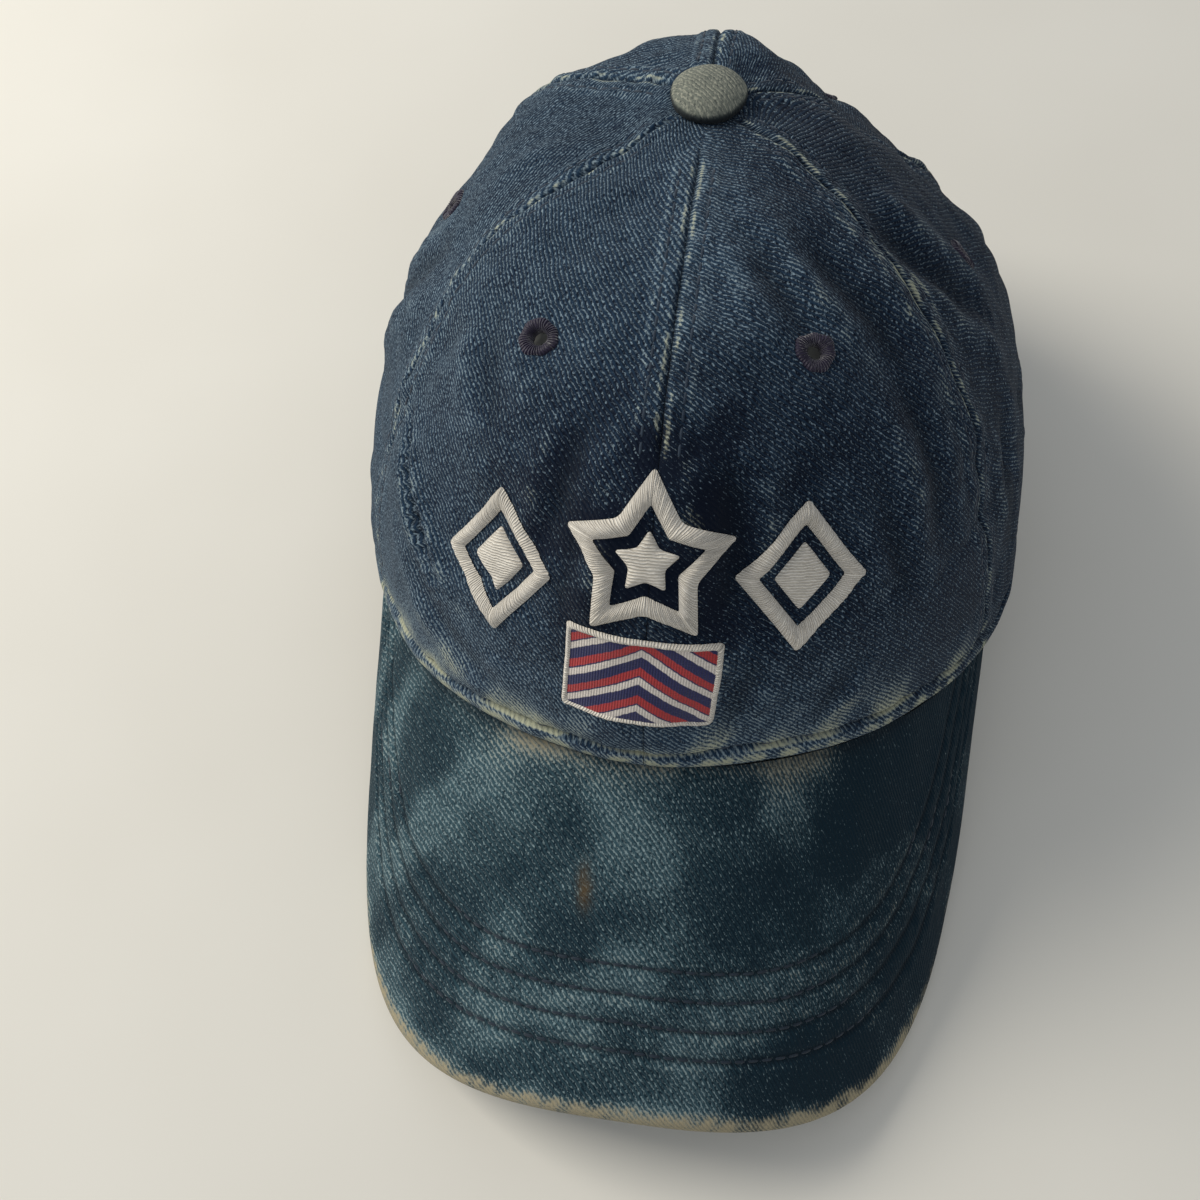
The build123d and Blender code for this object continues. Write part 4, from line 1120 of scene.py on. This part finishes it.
def make_felt():
    """The backing behind the raised shapes: a thin closed sheet inside the front."""
    theta, t = np.meshgrid(np.linspace(-FELT_REACH, FELT_REACH, 60), np.linspace(0.22, 0.56, 40))
    points, faces = slab(backing(theta, t, -1.95), backing(theta, t, -2.25))
    piece("embroidery_backing_felt", points, faces, FELT, "cap", ["embroidery_backing"])


def visor_relief(across, y, inset):
    """The top cloth's height: two sizes of ripples, and a groove with puckers beside it under each row."""
    points = np.stack(np.broadcast_arrays(across, y, 0 * across), -1)
    height = 0.16 * ripples(points, 34, 41) + 0.07 * ripples(points, 8, 43)
    for row in ROW_INSETS:
        groove = bell(inset - row, 0.75) * 0.42
        beside = bell(np.abs(inset - row) - 1.9, 1.1)
        height = height - groove + beside * (0.12 + 0.1 * ripples(points, 4.2, 45))
    return height


def visor_grid(rows, roll_end, radius):
    """Flat-pattern coordinates, inset, depth and slope of a visor cloth.

    It runs straight from the crown's seam to the edge, then round a roll of that radius to its end angle.
    """
    s = np.linspace(-0.997, 0.997, 300)[None, :]
    edge_room = radius * smooth((1 - np.abs(s)) / 0.06) + 0.05
    theta = s * CORNER_THETA
    x, y = (HALF_WIDTH + 0.3) * np.sin(theta), -(HALF_LENGTH + 0.3) * np.cos(theta)
    across = VISOR_ROLL * np.arcsin(x / VISOR_ROLL)
    edge_across, edge_y = visor_edge(s, edge_room)
    v = np.linspace(0, 1, rows)[:, None]
    flat = np.stack([across + (edge_across - across) * v, y + (edge_y - y) * v], -1)
    width = np.hypot(edge_across - across, edge_y - y)
    inset = edge_room + width * (1 - v)
    depth = np.zeros_like(inset)
    turn = np.linspace(0, roll_end, 14)[1:, None]
    far_across, far_y = visor_edge(s, edge_room * (1 - np.sin(turn)))
    flat = np.concatenate([flat, np.stack([far_across, far_y], -1)])
    inset = np.concatenate([inset, edge_room * (1 - np.sin(turn))])
    depth = np.concatenate([depth, edge_room * (1 - np.cos(turn))])
    slope = np.concatenate([np.zeros((rows, 1)), turn])
    return s, flat, inset, depth, slope


def visor_marks(s, flat, inset):
    """Wear and painted shade on the visor, each mark 0 to 1.

    It is cream under the crown's seam and round the front edge, darker to the right by painted shade and in
    blotches by deeper dye, has painted shadow in the rows' grooves and along the crown's seam, and has one
    small brown stain.
    """
    across, y = flat[..., 0], flat[..., 1]
    points = np.stack([across, y, 0 * across], -1)
    blotch = 0.5 + 0.5 * np.clip(ripples(points, 22, 51), -1, 1)
    fine = 0.5 + 0.5 * np.clip(ripples(points, 4, 53), -1, 1)
    rim_gap = np.hypot(across / (HALF_WIDTH + 10), y / HALF_LENGTH)
    seam_gap = (rim_gap - 1) * 95
    front = smooth((0.8 - np.abs(s)) / 0.4)
    fade = 0.7 * np.exp(-np.maximum(seam_gap - 1, 0) / 4.5) * (0.6 + 0.4 * blotch)
    fade = fade * smooth((0.6 - np.abs(s)) / 0.3)
    fade = fade + smooth((5.2 - inset) / 4.2) * (0.35 + 0.75 * front) * (0.65 + 0.4 * fine)
    fade = fade + 0.18 * (blotch - 0.4)
    for row in ROW_INSETS:
        fade = fade + 0.16 * bell(np.abs(inset - row) - 1.5, 0.8) * fine * 1.6
    # Painted shade that darkens towards +X, the side away from the light, and random deeper dye where the
    # blotches are low.
    dye_and_shade = 0.55 * smooth((across - 5) / 60) + 0.35 * (1 - blotch)
    # Painted shadow in each stitch row's groove and along the seam with the crown.
    painted_shade = sum(0.75 * bell(inset - row, 0.45) for row in ROW_INSETS)
    painted_shade = painted_shade + 0.5 * np.exp(-np.maximum(seam_gap, 0))
    stain = 0.8 * bell(across + 10.5 + 0.1 * (y + 122), 1.5) * bell(y + 122.5, 3.4) * (0.6 + 0.4 * fine)
    return {
        "fade": np.clip(fade, 0, 1),
        "dye_and_shade": np.clip(dye_and_shade, 0, 1),
        "painted_shade": np.clip(painted_shade, 0, 0.8),
        "stain": np.clip(stain, 0, 1),
    }


def make_visor_top():
    """The top cloth, in relief and rolled round the visor's edge."""
    s, flat, inset, depth, slope = visor_grid(96, 1.9, VISOR_THICKNESS / 2)
    across, y = flat[..., 0], flat[..., 1]
    lift = visor_relief(across, y, inset) * smooth(inset / 4) * smooth((1 - np.abs(s)) / 0.03)
    sink_in = VISOR_CLOTH * 0.9
    outer = visor_point(across, y, depth - lift)
    back_across, back_y = visor_edge(np.broadcast_to(s, inset.shape), inset + sink_in * np.sin(slope))
    rolled = slope > 0
    inner_across = np.where(rolled, back_across, across)
    inner_y = np.where(rolled, back_y, y)
    inner = visor_point(inner_across, inner_y, depth + sink_in * np.cos(slope))
    points, faces = slab(outer, inner)
    faces = faces[:, ::-1]
    uv = both(flat + np.stack([0 * depth, -depth], -1))
    marks = {key: both(value + 0 * inset) for key, value in visor_marks(s, flat, inset).items()}
    name, replaced = "visor_top_cloth_denim", ["visor_top_cloth"]
    top = piece(name, points, faces, VISOR_DENIM, "cap", replaced, uv, marks)


def make_visor_bottom():
    """The bottom cloth: one size of ripples, a groove under each stitch row, and fainter wear, dye and
    painted shade.
    """
    s, flat, inset, depth, slope = visor_grid(60, 0.9, VISOR_THICKNESS / 2)
    across, y = flat[..., 0], flat[..., 1]
    lift = 0.12 * ripples(np.stack([across, y, 0 * y], -1), 30, 47) * smooth(inset / 6)
    for row in ROW_INSETS:
        lift = lift - bell(inset - row, 0.75) * 0.3 * smooth(inset / 6)
    under = VISOR_THICKNESS - depth
    outer = visor_point(across, y, under - lift)
    inner = visor_point(across, y, np.maximum(under - 0.9 * np.cos(slope), 1.1))
    points, faces = slab(outer, inner)
    # The top's fade, painted shade and stain, weaker underneath.
    bottom_shares = {"fade": 0.6, "dye_and_shade": 0.6, "painted_shade": 0.6, "stain": 0}
    marks = {key: both(value + 0 * inset) * bottom_shares[key] for key, value in visor_marks(s, flat, inset).items()}
    name, replaced = "visor_bottom_cloth_denim", ["visor_bottom_cloth"]
    bottom = piece(name, points, faces, VISOR_DENIM, "cap", replaced, both(flat), marks)


def make_visor_rows():
    """The stitch rows, each above and below the visor along a line a fixed way in from its edge."""
    for index, row in enumerate(ROW_INSETS, start=1):
        reach = 0.97 - row * 0.009
        line = np.linspace(-reach, reach, 500)
        across, y = visor_edge(line, row)
        lift = visor_relief(across, y, np.full(line.shape, row))
        above = visor_point(across, y, -lift - 0.1)
        normal = unit(visor_point(across, y, -1.0) - visor_point(across, y, 0.0))
        below = visor_point(across, y, VISOR_THICKNESS - 0.25)
        label = f"visor_stitch_row_{index}"
        runs = [(above, normal), (below, -normal)]
        make_stitches(label + "_thread", runs, VISOR_THREAD, "cap", [label], width=0.7)


def make_button():
    """The cloth-covered button: a domed profile turned round its seat, slightly uneven, rounded in below."""
    front, right, back, left = (crown(math.radians(90 * k), 0.97) for k in range(4))
    ex = unit(right - left)
    ez = unit(np.cross(right - left, back - front))
    ey = np.cross(ez, ex)
    rise = np.linspace(0, PI / 2, 18)
    dome = np.stack([BUTTON_RADIUS * np.cos(rise) ** 0.75, 1.4 + 3.9 * np.sin(rise) ** 1.25], -1)[:-1]
    foot = np.array([(4.0, 0.3), (7.2, 0.3), (7.95, 0.6)])
    profile = np.concatenate([foot, dome])
    turn = np.linspace(0, 2 * PI, 73)[:-1][None, :]
    radius, height = profile[:, 0][:, None], profile[:, 1][:, None]
    uneven = 1 + 0.012 * np.sin(3 * turn) + 0.01 * np.sin(5 * turn + 1)
    x, y = radius * np.cos(turn) * uneven, radius * np.sin(turn) * uneven
    grid = crown(0.0, 1.0) + x[..., None] * ex + y[..., None] * ey + (height + 0 * turn)[..., None] * ez
    poles = crown(0.0, 1.0) + np.array([[0.3], [5.3]]) * ez
    rows, columns = x.shape
    uv = np.concatenate([np.stack([x, y], -1).reshape(-1, 2), np.zeros((2, 2))])
    # Round its foot the button is darkened by painted shade where it meets the crown; the top is faded.
    low = (1 - smooth((profile[:, 1] - 1.4) / 1.2))[:, None] + 0 * turn
    pad = np.zeros(2)
    marks = {
        "fade": np.concatenate([(0.35 * (1 - low)).ravel(), pad]),
        "dye_and_shade": np.concatenate([low.ravel(), pad]),
        "painted_shade": np.concatenate([(0.8 * low).ravel(), pad]),
        "stain": np.zeros(rows * columns + 2),
    }
    faces = [quads(rows, columns, close_columns=True), pole_faces(rows, columns)]
    points = np.concatenate([grid.reshape(-1, 3), poles])
    name, replaced = "button_cover_cloth", ["button_cover"]
    piece(name, points, faces, BUTTON_CLOTH, "cap", replaced, uv, marks)


def ribbon(path, half_width, thickness, height):
    """A band on edge: a path in plan with a rounded oblong section, half a width up and down."""
    ahead = unit(np.gradient(path, axis=0))
    side = np.stack([ahead[:, 1], -ahead[:, 0]], -1)
    turn = np.linspace(0, 2 * PI, 41)[:-1]
    reach = np.sign(np.sin(turn)) * np.abs(np.sin(turn)) ** 0.25 * half_width
    thick = np.sign(np.cos(turn)) * np.abs(np.cos(turn)) ** 0.7 * thickness / 2
    xy = path[:, None, :] + side[:, None, :] * thick[None, :, None]
    grid = np.concatenate([xy, np.broadcast_to((height + reach)[None, :, None], (*xy.shape[:2], 1))], -1)
    rows, columns = grid.shape[:2]
    points = np.concatenate([grid.reshape(-1, 3), [grid[0].mean(0), grid[-1].mean(0)]])
    walk = walked(path)[:, None]
    uv = np.stack(np.broadcast_arrays(walk, reach[None, :]), -1).reshape(-1, 2)
    uv = np.concatenate([uv, uv[:1], uv[-1:]])
    return points, [quads(rows, columns, close_columns=True), pole_faces(rows, columns)], uv


def arc(radius, start, end, count):
    """Plan points on an arc about the strap's centre, angles from the back."""
    angle = np.linspace(start, end, count)
    return np.stack([radius * np.sin(angle), STRAP_CENTRE_Y + radius * np.cos(angle)], -1)


def make_strap():
    """The strap on its arc, and its two stitched edges."""
    middle = STRAP_RADIUS - STRAP_THICKNESS / 2
    path = arc(middle, -STRAP_HALF_ANGLE, STRAP_HALF_ANGLE, 160)
    points, faces, uv = ribbon(path, STRAP_WIDTH / 2, STRAP_THICKNESS, STRAP_HEIGHT)
    strap = piece("strap_denim_band", points, faces, STRAP_DENIM, "strap", ["strap"], uv)
    runs = []
    for side in (-1, 1):
        line = arc(STRAP_RADIUS + 0.02, -STRAP_HALF_ANGLE + 0.02, STRAP_HALF_ANGLE - 0.02, 400)
        level = np.full((len(line), 1), STRAP_HEIGHT + side * (STRAP_WIDTH / 2 - 2.2))
        out = unit(np.concatenate([line - np.array([0, STRAP_CENTRE_Y]), 0 * level], -1))
        runs.append((np.concatenate([line, level], -1), out))
    replaced = ["strap_stitching"]
    make_stitches("strap_stitching_rows", runs, NAVY_THREAD, "strap", replaced, height=0.3)


def make_tab():
    """The tab: a ribbon from the rear panel to the buckle's bar, once round it, and back."""
    s, c = math.sin(BUCKLE_ANGLE), math.cos(BUCKLE_ANGLE)
    centre = np.array([STRAP_RADIUS * s, STRAP_CENTRE_Y + STRAP_RADIUS * c])

    def by_buckle(x, y):
        x, y = np.broadcast_arrays(np.asarray(x, float), np.asarray(y, float))
        return centre + x[:, None] * np.array([c, -s]) + y[:, None] * np.array([s, c])

    bend = np.linspace(PI / 2, -PI / 2, 17)
    loop = by_buckle(-8.75 + 1.15 * np.cos(bend), -4.53 + 1.15 * np.sin(bend))
    near_buckle = BUCKLE_ANGLE - math.radians(10.5)
    outer_arc = arc(TAB_RADIUS + TAB_LAYER_GAP, TAB_END_ANGLE, near_buckle, 40)
    inner_arc = arc(TAB_RADIUS - TAB_LAYER_GAP, near_buckle, TAB_END_ANGLE, 40)
    going = by_buckle([-11.6, -10.2], [-3.45, -3.38])
    coming = by_buckle([-10.2, -11.6], [-5.68, -5.62])
    path = np.concatenate([outer_arc, going, loop, coming, inner_arc])
    walk = walked(path)
    even = np.linspace(0, walk[-1], 150)
    path = np.stack([np.interp(even, walk, path[:, k]) for k in range(2)], -1)
    points, faces, uv = ribbon(path, 8.5, 0.85, STRAP_HEIGHT)
    piece("strap_tab_loop", points, faces, STRAP_DENIM, "cap", ["strap_tab"], uv)


def dress_hardware():
    """The metal parts and the board keep their CAD meshes and take a finish."""
    looks = {
        "visor_board": BOARD,
        "button_shell": STEEL,
        "button_stem": STEEL,
        "button_washer": STEEL,
        "buckle_frame": BRASS,
        "buckle_pin": BRASS,
        "buckle_lever": BRASS,
    }
    for name, finish in looks.items():
        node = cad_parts[name]
        node.data.materials.clear()
        node.data.materials.append(finish)


def make_stage():
    """A pale floor with faint clouds, a pale world, a large soft light from the left and a weak fill."""
    mesh = bpy.data.meshes.new("floor")
    mesh.from_pydata([(-3, -3, 0), (3, -3, 0), (3, 3, 0), (-3, 3, 0)], [], [(0, 1, 2, 3)])
    floor = bpy.data.objects.new("floor", mesh)
    bpy.context.scene.collection.objects.link(floor)
    f = Finish("floor", Roughness=0.9, Specular_IOR_Level=0.1)
    soft = f.noise(f.place(), 0.01, 2.0)
    f.feed("Base Color", f.mix(soft, colour(222, 218, 208), colour(232, 229, 220)))
    mesh.materials.append(f.material)
    world = bpy.data.worlds.new("studio")
    world.use_nodes = True
    sky = world.node_tree.nodes["Background"]
    sky.inputs["Color"].default_value = colour(226, 232, 240)
    sky.inputs["Strength"].default_value = 0.5
    bpy.context.scene.world = world
    bpy.context.scene.view_settings.view_transform = "Standard"
    lights = (("key", (-1.0, 0.25, 0.85), 0.6, 14.0), ("fill", (0.3, -1.2, 1.2), 1.2, 1.6))
    for name, place, size, power in lights:
        light = bpy.data.lights.new(name, "AREA")
        light.energy, light.size = power, size
        light.color = colour(255, 250, 240)[:3]
        lamp = bpy.data.objects.new(name, light)
        lamp.location = place
        aim = -Matrix.Translation(place).translation.normalized()
        lamp.rotation_mode = "QUATERNION"
        lamp.rotation_quaternion = aim.to_track_quat("-Z", "Y")
        bpy.context.scene.collection.objects.link(lamp)


def make_camera():
    """A camera over the visor: yaw, pitch and roll in the opening's frame, then the tilt of the stand."""
    yaw, pitch, roll = 0.212, 0.928, -0.074
    scale = 0.97
    target, distance = np.array([-33.554, 18.115, -80.561]) * scale, 428.036 * scale
    back = np.array([math.sin(yaw) * math.cos(pitch), -math.cos(yaw) * math.cos(pitch), math.sin(pitch)])
    right = unit(np.cross(-back, [0, 0, 1.0]))
    up = np.cross(right, -back)
    right, up = right * math.cos(roll) + up * math.sin(roll), up * math.cos(roll) - right * math.sin(roll)
    c, s = math.cos(TILT), math.sin(TILT)
    tilt = np.array([[1, 0, 0], [0, c, s], [0, -s, c]])
    axes = tilt @ np.stack([right, up, back], -1)
    matrix = np.eye(4)
    matrix[:3, :3] = axes
    matrix[:3, 3] = stand(target + back * distance)
    data = bpy.data.cameras.new("camera")
    data.sensor_width, data.lens = 36.0, 36.4
    data.clip_start, data.clip_end = 0.01, 20
    camera = bpy.data.objects.new("camera", data)
    camera.matrix_world = Matrix(matrix.tolist())
    bpy.context.scene.collection.objects.link(camera)
    bpy.context.scene.camera = camera


for panel in PANELS:
    make_panel(panel)
    make_eyelet(panel)
for seam in SEAMS:
    make_seam_tape(seam)
    make_topstitch(seam)
make_hem_stitching()
make_arch_binding()
make_sweatband()
make_felt()
make_visor_top()
make_visor_bottom()
make_visor_rows()
make_button()
for shape in SHAPES:
    make_shape(shape)
make_patch()
make_strap()
make_tab()
dress_hardware()
make_stage()
make_camera()

bpy.context.view_layer.update()
